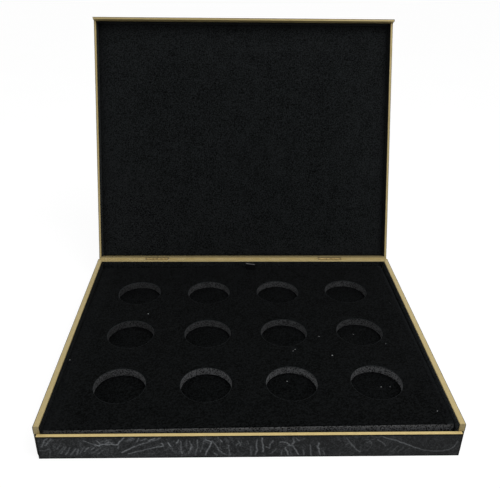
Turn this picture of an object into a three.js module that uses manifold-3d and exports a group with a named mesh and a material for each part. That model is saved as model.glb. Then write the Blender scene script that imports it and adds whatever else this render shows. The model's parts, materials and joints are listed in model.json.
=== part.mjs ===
// Coin display case: a shallow tray with a lift-out pad of twelve wells, and a hinged lid that
// stands open on its stop hinges.
// Millimetres. +X points right, +Y to the back, +Z up. The origin is the middle of the underside.

import * as THREE from 'three';
import { mergeVertices } from 'three/addons/utils/BufferGeometryUtils.js';
import Module from 'manifold-3d';

const wasm = await Module();
wasm.setup();

// Case outline. The width is over the tray's side walls; its front wall and the lid are narrower.
const caseWidth = 352.6;
const caseDepth = 282;
const sideHeight = 31.5;
const frontStep = 7.5;
const frontInset = 2;
const lidInset = 1.3;
const lidRecess = 9;
const lidOpenAngle = THREE.MathUtils.degToRad(111.3);

// Skins, joints and clearances
const wrapThickness = 0.35;
const wrapReveal = 0.3;
const wrapEdgeEase = 0.3;
const glueLine = 0.25;
const boardJoint = 0.1;
const rimGap = 0.3;
const seatGap = 0.3;
const arris = 0.25;
const overrun = 1;

// Tray boards
const traySideBoard = 4.6;
const trayFrontBoard = 3;
const trayBackBoard = 4.3;
const trayFloorBoard = 3;
const baseSheetThickness = 0.4;

// Lid boards
const lidSideBoard = 2;
const lidLipBoard = 2.1;
const lidBackBoard = 2.5;
const lidPanelBoard = 3;
const linerBoardThickness = 1.8;
const linerVelvetThickness = 0.5;

// Linings
const floorLiningThickness = 0.4;
const wallLiningThickness = 0.9;
const liningDrop = 0.5;

// Coin pad. Its front and back edges are turned, and its sides draw in towards the back. The
// clearances are those of its nearest corners to the linings.
const padSink = 5.1;
const padTurn = THREE.MathUtils.degToRad(0.73);
const padSideClearance = 0.3;
const padTaper = 3;
const padFrontClearance = 0.5;
const padBackClearance = 2.4;
const padCornerRadius = 1.5;
const foamThickness = 6.9;
const padVelvetThickness = 0.6;
const wellVelvetThickness = 0.5;
const padBoardThickness = 1.6;

// Wells. The margins are those between the outer wells and the pad's middling edges, before the
// shift.
const wellColumns = 4;
const wellRows = 3;
const wellDiameter = 46.4;
const wellSideMargin = 29.45;
const wellEndMargin = 31.8;
const wellShiftX = -0.84;
const wellShiftY = -1.86;
const velvetHoleInset = 0.2;

// Rest strips under the pad
const restStripWidth = 8;

// Pull ribbon
const ribbonWidth = 11;
const ribbonThickness = 0.5;
const ribbonX = 9.6;
const ribbonReach = 6.4;
const ribbonRise = 3.1;
const ribbonPathShares = [
  [0, 0.1],
  [-0.03, 0.55],
  [0.06, 0.88],
  [0.24, 0.92],
  [0.44, 0.62],
  [0.72, 0.14],
  [1, 0],
];

// Stop hinges
const hingeSpacing = 210;
const leafWidth = 26;
const leafHeight = 13;
const leafThickness = 0.8;
const knuckleRadius = 1.5;
const pinRadius = 0.7;
const pinHeadRadius = 1.3;
const pinHeadLength = 0.8;
const leafCornerRadius = 2;
const stopToeLength = 4;
const screwHoleDiameter = 2.2;
const countersinkDiameter = 3.8;
const countersinkDepth = 0.55;
const screwSpacing = 16;

// Facets
const wellSegments = 40;
const roundSegments = 20;
const cornerSegments = 3;
const ribbonSegments = 28;

// The boards lie one skin inside the case's outline, and the wrap bends round their sharp corners.
const halfWidth = caseWidth / 2;
const lidHalfWidth = halfWidth - lidInset;
const halfDepth = caseDepth / 2;
const skin = wrapThickness + glueLine;
const cornerRadius = skin;

// Levels of the tray, from the table up
const frontHeight = sideHeight - frontStep;
const boardsBottom = baseSheetThickness + glueLine;
const trayFloorTop = boardsBottom + trayFloorBoard;
const floorLiningBottom = trayFloorTop + glueLine;
const floorLiningTop = floorLiningBottom + floorLiningThickness;

// Levels of the pad
const padTop = sideHeight - padSink;
const padVelvetBottom = padTop - padVelvetThickness;
const foamTop = padVelvetBottom - glueLine;
const foamBottom = foamTop - foamThickness;
const wellFloor = foamBottom - glueLine;
const wellVelvetBottom = wellFloor - wellVelvetThickness;
const padBoardTop = wellVelvetBottom - glueLine;
const padBottom = padBoardTop - padBoardThickness;

// Levels of the lid when shut
const lidRim = sideHeight + rimGap;
const lipRim = frontHeight + rimGap;
const linerFace = lidRim + lidRecess;
const linerVelvetTop = linerFace + linerVelvetThickness;
const linerBoardBottom = linerVelvetTop + glueLine;
const linerBoardTop = linerBoardBottom + linerBoardThickness;
const lidPanelBottom = linerBoardTop + glueLine;
const lidPanelTop = lidPanelBottom + lidPanelBoard;
const lidTop = lidPanelTop + skin;

// Inner faces of the walls. The side walls start behind the front wall, and behind the lip.
const trayWalls = wallFaces(halfWidth, frontInset, trayFrontBoard, traySideBoard, trayBackBoard);
const lidWalls = wallFaces(lidHalfWidth, 0, lidLipBoard, lidSideBoard, lidBackBoard);

// Faces of the tray's wall linings, and the pad that fits turned between them
const liningBuild = glueLine + wallLiningThickness;
const clearHalfWidth = trayWalls.side - liningBuild;
const clearFront = trayWalls.front + liningBuild;
const clearBack = trayWalls.back - liningBuild;
const padFrontHalf = clearHalfWidth - padSideClearance;
const padBackHalf = padFrontHalf - padTaper;
const padWidth = padFrontHalf + padBackHalf;
const padSlope = Math.tan(padTurn);
const padRangeY = [clearFront + padFrontClearance, clearBack - padBackClearance];
const padDepth = (padRangeY[1] - padRangeY[0] - padWidth * padSlope) * Math.cos(padTurn);
const padCentreY = (padRangeY[0] + padRangeY[1] + padTaper * padSlope) / 2;
const wellPitchX = (padWidth - wellDiameter - 2 * wellSideMargin) / (wellColumns - 1);
const wellPitchY = (padDepth - wellDiameter - 2 * wellEndMargin) / (wellRows - 1);

// Hinge axis, on the outer back face between the two rims
const axisHeight = sideHeight + rimGap / 2;
const hingeCentres = [-hingeSpacing / 2, hingeSpacing / 2];

const gold = { color: 0xbeac7d, roughness: 0.42, metalness: 0.35 };
const wrapBlack = { color: 0x1b1d1f, roughness: 0.5, metalness: 0 };
const velvetBlack = { color: 0x0b0b0c, roughness: 0.95, metalness: 0 };
const foamGrey = { color: 0x3c3c3d, roughness: 0.95, metalness: 0 };
const cardBlack = { color: 0x1a1a1a, roughness: 0.85, metalness: 0 };
const bareBoard = { color: 0x9a7f5c, roughness: 0.8, metalness: 0 };
const satinBlack = { color: 0x101012, roughness: 0.45, metalness: 0 };
const brass = { color: 0xb08d45, roughness: 0.3, metalness: 1 };

function wallFaces(halfSpan, endInset, frontBoard, sideBoard, backBoard) {
  const front = skin + frontBoard - halfDepth;
  return {
    outerX: halfSpan - skin,
    frontX: halfSpan - skin - endInset,
    front,
    side: halfSpan - skin - sideBoard,
    back: halfDepth - skin - backBoard,
    sideStart: front + boardJoint,
  };
}

// Closed solids for cutting and joining
function toSolid(geometry) {
  const bare = geometry.clone();
  bare.deleteAttribute('normal');
  bare.deleteAttribute('uv');
  const merged = mergeVertices(bare);
  return new wasm.Manifold(new wasm.Mesh({
    numProp: 3,
    vertProperties: merged.attributes.position.array,
    triVerts: Uint32Array.from(merged.index.array),
  }));
}

function toGeometry(solid) {
  const { numProp, vertProperties, triVerts } = solid.getMesh();
  const positions = new Float32Array((vertProperties.length / numProp) * 3);
  for (let vertex = 0; vertex * numProp < vertProperties.length; vertex += 1) {
    positions.set(vertProperties.subarray(vertex * numProp, vertex * numProp + 3), vertex * 3);
  }
  const geometry = new THREE.BufferGeometry();
  geometry.setAttribute('position', new THREE.BufferAttribute(positions, 3));
  geometry.setIndex(new THREE.BufferAttribute(triVerts, 1));
  const faceted = geometry.toNonIndexed();
  faceted.computeVertexNormals();
  return faceted;
}

function cut(geometry, tools) {
  return toGeometry(tools.reduce((solid, tool) => solid.subtract(toSolid(tool)), toSolid(geometry)));
}

function join(geometry, others) {
  return toGeometry(others.reduce((solid, other) => solid.add(toSolid(other)), toSolid(geometry)));
}

// Basic forms
function block(xRange, yRange, zRange) {
  const sizes = [xRange, yRange, zRange].map(([low, high]) => high - low);
  const middles = [xRange, yRange, zRange].map(([low, high]) => (low + high) / 2);
  return new THREE.BoxGeometry(...sizes).translate(...middles);
}

function plate(shape, zRange, edge = 0, edgeSegments = 1) {
  const [bottom, top] = zRange;
  return new THREE.ExtrudeGeometry(shape, {
    depth: top - bottom - 2 * edge,
    bevelEnabled: edge > 0,
    bevelThickness: edge,
    bevelSize: edge,
    bevelOffset: -edge,
    bevelSegments: edgeSegments,
    curveSegments: cornerSegments,
  }).translate(0, 0, bottom + edge);
}

function roundedBlock(xRange, yRange, zRange, radius) {
  const [halfX, halfY] = [xRange, yRange].map(([low, high]) => (high - low) / 2);
  const [middleX, middleY] = [xRange, yRange].map(([low, high]) => (low + high) / 2);
  return plate(roundedRectangle(halfX, halfY, radius), zRange).translate(middleX, middleY, 0);
}

function roundedRectangle(halfX, halfY, radius) {
  const shape = new THREE.Shape();
  shape.absarc(halfX - radius, halfY - radius, radius, 0, Math.PI / 2);
  shape.absarc(radius - halfX, halfY - radius, radius, Math.PI / 2, Math.PI);
  shape.absarc(radius - halfX, radius - halfY, radius, Math.PI, 1.5 * Math.PI);
  shape.absarc(halfX - radius, radius - halfY, radius, 1.5 * Math.PI, 2 * Math.PI);
  return shape;
}

// A shape through the given corners, each rounded off over the same length of edge
function roundedOutline(corners, length) {
  const shape = new THREE.Shape();
  corners.forEach((corner, index) => {
    const towards = (step) => {
      const other = corners[(index + step + corners.length) % corners.length];
      return other.clone().sub(corner).setLength(length).add(corner);
    };
    const start = towards(-1);
    const end = towards(1);
    if (index > 0) {
      shape.lineTo(start.x, start.y);
    } else {
      shape.moveTo(start.x, start.y);
    }
    shape.quadraticCurveTo(corner.x, corner.y, end.x, end.y);
  });
  shape.closePath();
  return shape;
}

function outline(points) {
  return new THREE.Shape(points.map(([x, y]) => new THREE.Vector2(x, y)));
}

function rodAlongX(radius, xRange, y, z) {
  const [left, right] = xRange;
  return new THREE.CylinderGeometry(radius, radius, right - left, roundSegments)
    .rotateZ(Math.PI / 2)
    .translate((left + right) / 2, y, z);
}

function named(name, geometry, finish) {
  const mesh = new THREE.Mesh(geometry, new THREE.MeshStandardMaterial(finish));
  mesh.name = name;
  return mesh;
}

// Plan outlines of the four walls: the front one closes the ends of the sides, which stand behind
// it and are mitred to the back one.
function wallOutlines(walls) {
  const outerY = halfDepth - skin;
  const side = (direction) => outline([
    [direction * walls.outerX, walls.sideStart],
    [direction * walls.side, walls.sideStart],
    [direction * walls.side, walls.back - boardJoint],
    [direction * walls.outerX, outerY - boardJoint],
  ]);
  return {
    front: outline([
      [-walls.frontX, -outerY],
      [walls.frontX, -outerY],
      [walls.frontX, walls.front],
      [-walls.frontX, walls.front],
    ]),
    back: outline([
      [-walls.side, walls.back],
      [walls.side, walls.back],
      [walls.outerX, outerY],
      [-walls.outerX, outerY],
    ]),
    left: side(-1),
    right: side(1),
  };
}

// Room for the hinge barrels in the back walls, and the windows that bare the boards for the leaves
function barrelNotches() {
  const reach = leafWidth / 2 + seatGap + pinHeadLength + seatGap;
  return hingeCentres.map((x) => (
    rodAlongX(knuckleRadius + seatGap, [x - reach, x + reach], halfDepth, axisHeight)
  ));
}

function leafWindows(zRange) {
  const reach = leafWidth / 2 + seatGap;
  return hingeCentres.map((x) => (
    block([x - reach, x + reach], [halfDepth - skin, halfDepth + overrun], zRange)
  ));
}

function buildTray() {
  const shapes = wallOutlines(trayWalls);
  const sideRange = [boardsBottom, sideHeight];
  const innerX = trayWalls.side - glueLine;
  const innerFront = trayWalls.front + glueLine;
  const innerBack = trayWalls.back - glueLine;
  const floor = (zRange) => block([-innerX, innerX], [innerFront, innerBack], zRange);

  return [
    named('tray_floor_board', floor([boardsBottom, trayFloorTop]), bareBoard),
    named('tray_front_wall', plate(shapes.front, [boardsBottom, frontHeight], arris), gold),
    named('tray_back_wall', cut(plate(shapes.back, sideRange, arris), barrelNotches()), gold),
    named('tray_left_wall', plate(shapes.left, sideRange, arris), gold),
    named('tray_right_wall', plate(shapes.right, sideRange, arris), gold),
    named('tray_wrap', trayWrap(), wrapBlack),
    named('tray_base_sheet', trayOutline(skin, [0, baseSheetThickness]), cardBlack),
    named('tray_floor_lining', floor([floorLiningBottom, floorLiningTop]), velvetBlack),
    ...trayLinings(innerX, innerFront, innerBack),
    ...restStrips(),
  ];
}

// The tray's outline, drawn in by an inset: its front is a little narrower than its sides
function trayOutline(inset, zRange) {
  const halfBody = halfWidth - inset;
  const halfFront = halfBody - frontInset;
  const ledge = trayWalls.sideStart - skin + inset;
  const radius = cornerRadius - Math.min(inset, wrapThickness);
  return join(
    roundedBlock([-halfBody, halfBody], [ledge, halfDepth - inset], zRange, radius),
    [roundedBlock([-halfFront, halfFront], [inset - halfDepth, 0], zRange, radius)],
  );
}

function trayWrap() {
  const lowFront = block(
    [-halfWidth - overrun, halfWidth + overrun],
    [-halfDepth - overrun, trayWalls.sideStart + wrapReveal],
    [frontHeight - wrapReveal, sideHeight],
  );
  const windows = leafWindows([axisHeight - leafHeight - seatGap, sideHeight]);
  const inside = trayOutline(wrapThickness, [-overrun, sideHeight]);
  return cut(
    trayOutline(0, [0, sideHeight - wrapReveal]),
    [inside, lowFront, ...windows, ...barrelNotches()],
  );
}

function trayLinings(innerX, innerFront, innerBack) {
  const bottom = floorLiningTop + glueLine;
  const betweenSides = clearHalfWidth - glueLine;
  const sideRange = [bottom, sideHeight - liningDrop];
  const across = [-betweenSides, betweenSides];
  const along = [innerFront, innerBack];
  return [
    named(
      'tray_lining_front',
      block(across, [innerFront, clearFront], [bottom, frontHeight - liningDrop]),
      velvetBlack,
    ),
    named(
      'tray_lining_back',
      block(across, [clearBack, innerBack], sideRange),
      velvetBlack,
    ),
    named('tray_lining_left', block([-innerX, -clearHalfWidth], along, sideRange), velvetBlack),
    named('tray_lining_right', block([clearHalfWidth, innerX], along, sideRange), velvetBlack),
  ];
}

// The strips that the pad lies on stand on the floor lining, against the wall linings.
function restStrips() {
  const heights = [floorLiningTop + glueLine, padBottom - seatGap];
  const outerX = clearHalfWidth - glueLine;
  const outerFront = clearFront + glueLine;
  const outerBack = clearBack - glueLine;
  const across = [-outerX, outerX];
  const along = [outerFront + restStripWidth + boardJoint, outerBack - restStripWidth - boardJoint];
  return [
    named('rest_strip_front', block(across, [outerFront, outerFront + restStripWidth], heights), bareBoard),
    named('rest_strip_back', block(across, [outerBack - restStripWidth, outerBack], heights), bareBoard),
    named('rest_strip_left', block([-outerX, restStripWidth - outerX], along, heights), bareBoard),
    named('rest_strip_right', block([outerX - restStripWidth, outerX], along, heights), bareBoard),
  ];
}

// The lid is drawn shut, in the tray's frame, and swung open about the hinge axis afterwards.
function buildLid() {
  const shapes = wallOutlines(lidWalls);
  const wallRange = [lidRim, lidPanelTop];
  const innerX = lidWalls.side - glueLine;
  const innerFront = lidWalls.front + glueLine;
  const innerBack = lidWalls.back - glueLine;
  const sheet = (zRange) => block([-innerX, innerX], [innerFront, innerBack], zRange);

  return [
    named('lid_panel', sheet([lidPanelBottom, lidPanelTop]), bareBoard),
    named('lid_front_lip', plate(shapes.front, [lipRim, lidPanelTop], arris), gold),
    named('lid_back_wall', cut(plate(shapes.back, wallRange, arris), barrelNotches()), gold),
    named('lid_left_wall', plate(shapes.left, wallRange, arris), gold),
    named('lid_right_wall', plate(shapes.right, wallRange, arris), gold),
    named('lid_wrap', lidWrap(), wrapBlack),
    named('lid_liner_board', sheet([linerBoardBottom, linerBoardTop]), cardBlack),
    named('lid_liner_velvet', sheet([linerFace, linerVelvetTop]), velvetBlack),
    ...lidLinings(innerX, innerFront, innerBack),
  ];
}

function lidWrap() {
  const start = lipRim + wrapReveal;
  const outer = plate(
    roundedRectangle(lidHalfWidth, halfDepth, cornerRadius),
    [start - overrun, lidTop],
    wrapEdgeEase,
  );
  const inner = plate(
    roundedRectangle(
      lidHalfWidth - wrapThickness,
      halfDepth - wrapThickness,
      cornerRadius - wrapThickness,
    ),
    [start - 2 * overrun, lidTop - wrapThickness],
  );
  const across = [-halfWidth - overrun, halfWidth + overrun];
  const belowLip = block(
    across,
    [-halfDepth - overrun, halfDepth + overrun],
    [start - 2 * overrun, start],
  );
  const belowSides = block(
    across,
    [lidWalls.front - wrapReveal, halfDepth + overrun],
    [start - overrun, lidRim + wrapReveal],
  );
  const windows = leafWindows([lidRim, axisHeight + leafHeight + seatGap]);
  return cut(outer, [inner, belowLip, belowSides, ...windows, ...barrelNotches()]);
}

// The lip and the sides are lined; the back wall shows its painted inner face.
function lidLinings(innerX, innerFront, innerBack) {
  const heights = [lidRim + liningDrop, linerFace - glueLine];
  const betweenSides = innerX - wallLiningThickness - glueLine;
  const along = [innerFront, innerBack];
  return [
    named(
      'lid_lining_front',
      block([-betweenSides, betweenSides], [innerFront, innerFront + wallLiningThickness], heights),
      velvetBlack,
    ),
    named('lid_lining_left', block([-innerX, wallLiningThickness - innerX], along, heights), velvetBlack),
    named('lid_lining_right', block([innerX - wallLiningThickness, innerX], along, heights), velvetBlack),
  ];
}

// The pad is drawn about its own middle and turned a little, as it lies in the tray.
function wellCentres() {
  const centres = [];
  for (let row = 0; row < wellRows; row += 1) {
    for (let column = 0; column < wellColumns; column += 1) {
      centres.push([
        wellShiftX + (column - (wellColumns - 1) / 2) * wellPitchX,
        wellShiftY + (row - (wellRows - 1) / 2) * wellPitchY,
      ]);
    }
  }
  return centres;
}

function padShape(holeRadius) {
  const corner = (side, end) => new THREE.Vector2(
    side / Math.cos(padTurn) + end * padSlope * padDepth / 2,
    end * padDepth / 2,
  );
  const corners = [
    corner(-padFrontHalf, -1),
    corner(padFrontHalf, -1),
    corner(padBackHalf, 1),
    corner(-padBackHalf, 1),
  ];
  const shape = roundedOutline(corners, padCornerRadius);
  if (holeRadius > 0) {
    shape.holes = wellCentres().map(([x, y]) => {
      const turns = Array.from({ length: wellSegments }, (_, step) => (2 * Math.PI * step) / wellSegments);
      return new THREE.Path(turns.map((turn) => (
        new THREE.Vector2(x + holeRadius * Math.cos(turn), y + holeRadius * Math.sin(turn))
      )));
    });
  }
  return shape;
}

function buildPad() {
  const wellRadius = wellDiameter / 2;
  const velvetHoleRadius = wellRadius - velvetHoleInset;
  return [
    named('pad_foam', plate(padShape(wellRadius), [foamBottom, foamTop]), foamGrey),
    named('pad_velvet', plate(padShape(velvetHoleRadius), [padVelvetBottom, padTop]), velvetBlack),
    named('pad_well_velvet', plate(padShape(0), [wellVelvetBottom, wellFloor]), velvetBlack),
    named('pad_board', plate(padShape(0), [padBottom, padBoardTop]), cardBlack),
    named('pull_ribbon', pullRibbon(), satinBlack),
  ];
}

// The ribbon is glued to the pad's back edge, loops up over it and lies forward on the velvet.
function pullRibbon() {
  const standOff = glueLine + ribbonThickness / 2;
  const rise = (share) => padTop + standOff + share * ribbonRise;
  const run = (share) => padDepth / 2 + standOff - share * (ribbonReach + standOff);
  const loop = new THREE.SplineCurve(ribbonPathShares.map(([reachShare, riseShare]) => (
    new THREE.Vector2(run(reachShare), rise(riseShare))
  )));
  const middle = [new THREE.Vector2(run(0), padBottom), ...loop.getPoints(ribbonSegments)];
  const offset = (side) => middle.map((point, index) => {
    const before = middle[Math.max(index - 1, 0)];
    const after = middle[Math.min(index + 1, middle.length - 1)];
    const along = after.clone().sub(before).normalize();
    return new THREE.Vector2(
      point.x - side * along.y * ribbonThickness / 2,
      point.y + side * along.x * ribbonThickness / 2,
    );
  });
  const section = new THREE.Shape([...offset(1), ...offset(-1).reverse()]);
  return new THREE.ExtrudeGeometry(section, { depth: ribbonWidth, bevelEnabled: false })
    .rotateY(Math.PI / 2)
    .rotateX(Math.PI / 2)
    .translate(ribbonX - ribbonWidth / 2, 0, 0);
}

// Stop hinges. Each is drawn with its axis on the X axis of its own frame: the tray's leaf hangs
// below the barrel, the lid's stands above it, and the three knuckles interleave on the pin.
function knuckleRanges() {
  const length = (leafWidth - 2 * seatGap) / 3;
  return [0, 1, 2].map((place) => {
    const start = place * (length + seatGap) - leafWidth / 2;
    return [start, start + length];
  });
}

function hingeLeaf(direction, ranges, extras) {
  const faces = [glueLine - skin, glueLine - skin + leafThickness];
  const upright = (low, high) => [direction * low, direction * high].sort((a, b) => a - b);
  const body = leafPlate(faces, upright(knuckleRadius + seatGap, leafHeight));
  const knuckles = ranges.flatMap((range) => [
    block(range, faces, upright(0, knuckleRadius + seatGap + leafCornerRadius)),
    rodAlongX(knuckleRadius, range, 0, 0),
  ]);
  const bore = rodAlongX(pinRadius + seatGap, [-leafWidth, leafWidth], 0, 0);
  const holes = [-screwSpacing / 2, screwSpacing / 2].flatMap((x) => (
    screwHole(faces).map((tool) => tool.translate(x, 0, direction * (knuckleRadius + leafHeight) / 2))
  ));
  return cut(join(body, [...knuckles, ...extras]), [bore, ...holes]);
}

// A flat leaf with rounded corners
function leafPlate(faces, heights) {
  const [inner, outer] = faces;
  return roundedBlock([-leafWidth / 2, leafWidth / 2], heights, [-outer, -inner], leafCornerRadius)
    .rotateX(Math.PI / 2);
}

// A bore through the leaf, and the cone of its countersink, which widens to the outer face
function screwHole(faces) {
  const [, outer] = faces;
  const bore = screwHoleDiameter / 2;
  const widening = countersinkDiameter / 2 - bore;
  return [
    new THREE.CylinderGeometry(bore, bore, 2 * overrun, roundSegments),
    new THREE.CylinderGeometry(bore + 2 * widening, bore, 2 * countersinkDepth, roundSegments)
      .translate(0, outer, 0),
  ];
}

// The toe hangs from the lid's knuckle and meets the tray's leaf when the lid is open, so it is
// placed in the open pose and turned back with the lid.
function stopToe(range) {
  const leafFace = glueLine - skin + leafThickness;
  return block(range, [leafFace + seatGap, knuckleRadius], [-stopToeLength, 0]).rotateX(lidOpenAngle);
}

function hingePin() {
  const half = leafWidth / 2 + seatGap;
  const end = half + pinHeadLength;
  const profile = [
    [0, -end],
    [pinHeadRadius, -end],
    [pinHeadRadius, -half],
    [pinRadius, -half],
    [pinRadius, half],
    [pinHeadRadius, half],
    [pinHeadRadius, end],
    [0, end],
  ].map(([radius, place]) => new THREE.Vector2(radius, place));
  return new THREE.LatheGeometry(profile, roundSegments).rotateZ(Math.PI / 2);
}

function buildHinge(side, x) {
  const [leftRange, middleRange, rightRange] = knuckleRanges();
  const place = (mesh) => {
    mesh.position.set(x, halfDepth, axisHeight);
    return mesh;
  };
  return {
    fixed: [
      place(named(`${side}_hinge_tray_leaf`, hingeLeaf(-1, [leftRange, rightRange], []), brass)),
      place(named(`${side}_hinge_pin`, hingePin(), brass)),
    ],
    swinging: [
      place(named(`${side}_hinge_lid_leaf`, hingeLeaf(1, [middleRange], [stopToe(middleRange)]), brass)),
    ],
  };
}

function buildCase() {
  const hinges = hingeCentres.map((x) => buildHinge(x < 0 ? 'left' : 'right', x));

  const tray = new THREE.Group();
  tray.add(...buildTray(), ...hinges.flatMap((hinge) => hinge.fixed));

  const pad = new THREE.Group();
  pad.add(...buildPad());
  pad.position.y = padCentreY;
  pad.rotation.z = padTurn;

  const shutLid = new THREE.Group();
  shutLid.add(...buildLid(), ...hinges.flatMap((hinge) => hinge.swinging));
  shutLid.position.set(0, -halfDepth, -axisHeight);
  const lid = new THREE.Group();
  lid.add(shutLid);
  lid.position.set(0, halfDepth, axisHeight);
  lid.rotation.x = -lidOpenAngle;

  const coinCase = new THREE.Group();
  coinCase.add(tray, pad, lid);
  return coinCase;
}

export default buildCase();
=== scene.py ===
"""The looks of a coin display case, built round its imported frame."""

import json
import math
from contextlib import contextmanager

import bmesh
import bpy
from bpy.props import FloatProperty, FloatVectorProperty, IntProperty, PointerProperty
from mathutils import Matrix, Vector, geometry, noise


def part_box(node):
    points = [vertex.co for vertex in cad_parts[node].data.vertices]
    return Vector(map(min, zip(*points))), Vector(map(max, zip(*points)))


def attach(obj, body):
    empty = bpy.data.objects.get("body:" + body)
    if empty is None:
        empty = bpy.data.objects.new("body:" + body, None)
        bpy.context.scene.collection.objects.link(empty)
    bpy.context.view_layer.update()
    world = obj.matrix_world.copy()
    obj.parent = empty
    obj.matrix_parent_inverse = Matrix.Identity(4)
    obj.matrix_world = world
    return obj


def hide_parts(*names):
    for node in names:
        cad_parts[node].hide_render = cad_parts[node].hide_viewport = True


bl_info = {
    "name": "Coin display case",
    "version": (1, 0, 0),
    "blender": (4, 5, 0),
    "location": "3D View > Sidebar > Coin case",
    "description": "Covers, lines and lights a coin display case with a lift-out pad",
    "category": "Add Mesh",
}

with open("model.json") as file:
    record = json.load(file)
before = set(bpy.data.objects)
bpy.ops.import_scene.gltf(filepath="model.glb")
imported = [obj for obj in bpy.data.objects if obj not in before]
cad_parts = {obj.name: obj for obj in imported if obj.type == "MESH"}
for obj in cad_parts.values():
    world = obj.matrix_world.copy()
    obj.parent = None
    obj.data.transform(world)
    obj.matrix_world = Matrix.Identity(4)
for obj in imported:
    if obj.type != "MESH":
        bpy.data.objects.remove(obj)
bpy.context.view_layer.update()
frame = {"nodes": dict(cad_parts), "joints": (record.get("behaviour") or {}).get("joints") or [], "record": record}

MM = 0.001
HAIR = 0.01 * MM  # two places this near each other are the same one
X, Y, Z = 0, 1, 2
RIGHTWARD, BACKWARD = Vector((1, 0, 0)), Vector((0, 1, 0))
STILL = Vector((0, 0, 0))

# Blender seeds its vector noise from the clock, and the creases have to wander the same way each run
noise.seed_set(1)

# The lid is worked on shut, and then swung open about its hinge
HINGE = next(joint for joint in frame["joints"] if joint["name"] == "lid_hinge")
HINGE_PLACE = Vector(HINGE["pos_m"])
OPEN_ANGLE = math.radians(HINGE["range_deg"][0])
LID_OPEN = (
    Matrix.Translation(HINGE_PLACE) @ Matrix.Rotation(OPEN_ANGLE, 4, "X") @ Matrix.Translation(-HINGE_PLACE)
)
LID_SHUT = LID_OPEN.inverted()

# The pad is worked on about its own middle, and then turned as it lies in the tray
WELLS = {
    opening["name"]: (Vector(opening["box_m"][0]) + Vector(opening["box_m"][1])) / 2
    for opening in frame["record"]["physics"]["openings"]
    if opening["name"].startswith("well_")
}
WELL_COLUMNS, WELL_ROWS = 4, 3
ROW_RUN = WELLS[f"well_front_{WELL_COLUMNS}"] - WELLS["well_front_1"]
PAD_TURN = math.atan2(ROW_RUN.y, ROW_RUN.x)


def middle_of(low, high):
    return (low + high) / 2


PAD_MIDDLE = middle_of(*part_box("pad_board")) * Vector((1, 1, 0))
PAD_PLACE = Matrix.Translation(PAD_MIDDLE) @ Matrix.Rotation(PAD_TURN, 4, "Z")
PAD_LIE = PAD_PLACE.inverted()


def pad_outline():
    """Half the pad's depth, and how far out its left and right side lie at the front and the back"""
    points = [PAD_LIE @ vertex.co for vertex in frame["nodes"]["pad_board"].data.vertices]
    reach = {
        (side, end): max(side * point.x for point in points if end * point.y > 0)
        for side in (-1, 1) for end in (-1, 1)
    }
    return max(point.y for point in points), reach


HALF_DEPTH, SIDE_REACH = pad_outline()
HALF_WIDTH = sum(SIDE_REACH.values()) / 4
PAD_SIZE = (2 * HALF_WIDTH, 2 * HALF_DEPTH)


def shut_box(node):
    """Lowest and highest corner of a lid node with the lid shut"""
    points = [LID_SHUT @ vertex.co for vertex in frame["nodes"][node].data.vertices]
    low = Vector(min(point[axis] for point in points) for axis in range(3))
    high = Vector(max(point[axis] for point in points) for axis in range(3))
    return low, high


# Modelling helpers

def deselect_all():
    if bpy.context.object and bpy.context.object.mode != "OBJECT":
        bpy.ops.object.mode_set(mode="OBJECT")
    bpy.ops.object.select_all(action="DESELECT")


def select_only(piece):
    deselect_all()
    piece.select_set(True)
    bpy.context.view_layer.objects.active = piece


@contextmanager
def editing(piece):
    select_only(piece)
    bpy.ops.object.mode_set(mode="EDIT")
    yield
    bpy.ops.object.mode_set(mode="OBJECT")


def take(name):
    """Names the new object, and puts its place into its mesh"""
    piece = bpy.context.object
    piece.name = piece.data.name = name
    bpy.ops.object.transform_apply(location=True, rotation=True, scale=True)
    return piece


def add_block(name, low, high):
    deselect_all()
    bpy.ops.mesh.primitive_cube_add(size=1, location=middle_of(low, high), scale=high - low)
    return take(name)


def pick_faces(piece, wanted):
    """In edit mode, selects the faces whose middle and direction pass a test"""
    bpy.ops.mesh.select_mode(type="FACE")
    bpy.ops.mesh.select_all(action="DESELECT")
    for face in bmesh.from_edit_mesh(piece.data).faces:
        if wanted(face.calc_center_median(), face.normal):
            face.select_set(True)
    bmesh.update_edit_mesh(piece.data)


def pick_edges(piece, wanted):
    """In edit mode, selects the edges whose middle and run pass a test"""
    bpy.ops.mesh.select_mode(type="EDGE")
    bpy.ops.mesh.select_all(action="DESELECT")
    for edge in bmesh.from_edit_mesh(piece.data).edges:
        start, end = (vertex.co for vertex in edge.verts)
        if wanted(middle_of(start, end), end - start):
            edge.select_set(True)
    bmesh.update_edit_mesh(piece.data)


def along_axis(axis, length=1):
    """A run of some length along one axis"""
    run = STILL.copy()
    run[axis] = length
    return run


def slice_at(axis, places):
    """In edit mode, cuts the whole mesh through at each place along an axis"""
    direction = along_axis(axis)
    for place in places:
        bpy.ops.mesh.select_all(action="SELECT")
        bpy.ops.mesh.bisect(plane_co=direction * place, plane_no=direction)


def divide(piece, axis, cell, wanted=lambda middle: True):
    """In edit mode, cuts the edges that run along an axis into cells, one length of edge at a time"""
    def runs_along(run):
        return abs(run[axis]) > 0.999 * run.length

    while True:
        edges = bmesh.from_edit_mesh(piece.data).edges
        ends = [[vertex.co for vertex in edge.verts] for edge in edges]
        lengths = [
            (end - start).length for start, end in ends
            if runs_along(end - start) and wanted(middle_of(start, end))
        ]
        longest = max(lengths, default=0)
        if longest < 1.5 * cell:
            return
        pick_edges(piece, lambda middle, run: (
            runs_along(run) and wanted(middle) and abs(run.length - longest) < HAIR
        ))
        bpy.ops.mesh.subdivide(number_cuts=min(100, round(longest / cell) - 1))


def apply_modifier(piece, kind, **settings):
    select_only(piece)
    modifier = piece.modifiers.new(kind.title(), kind)
    for name, value in settings.items():
        setattr(modifier, name, value)
    bpy.ops.object.modifier_apply(modifier=modifier.name)


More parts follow.
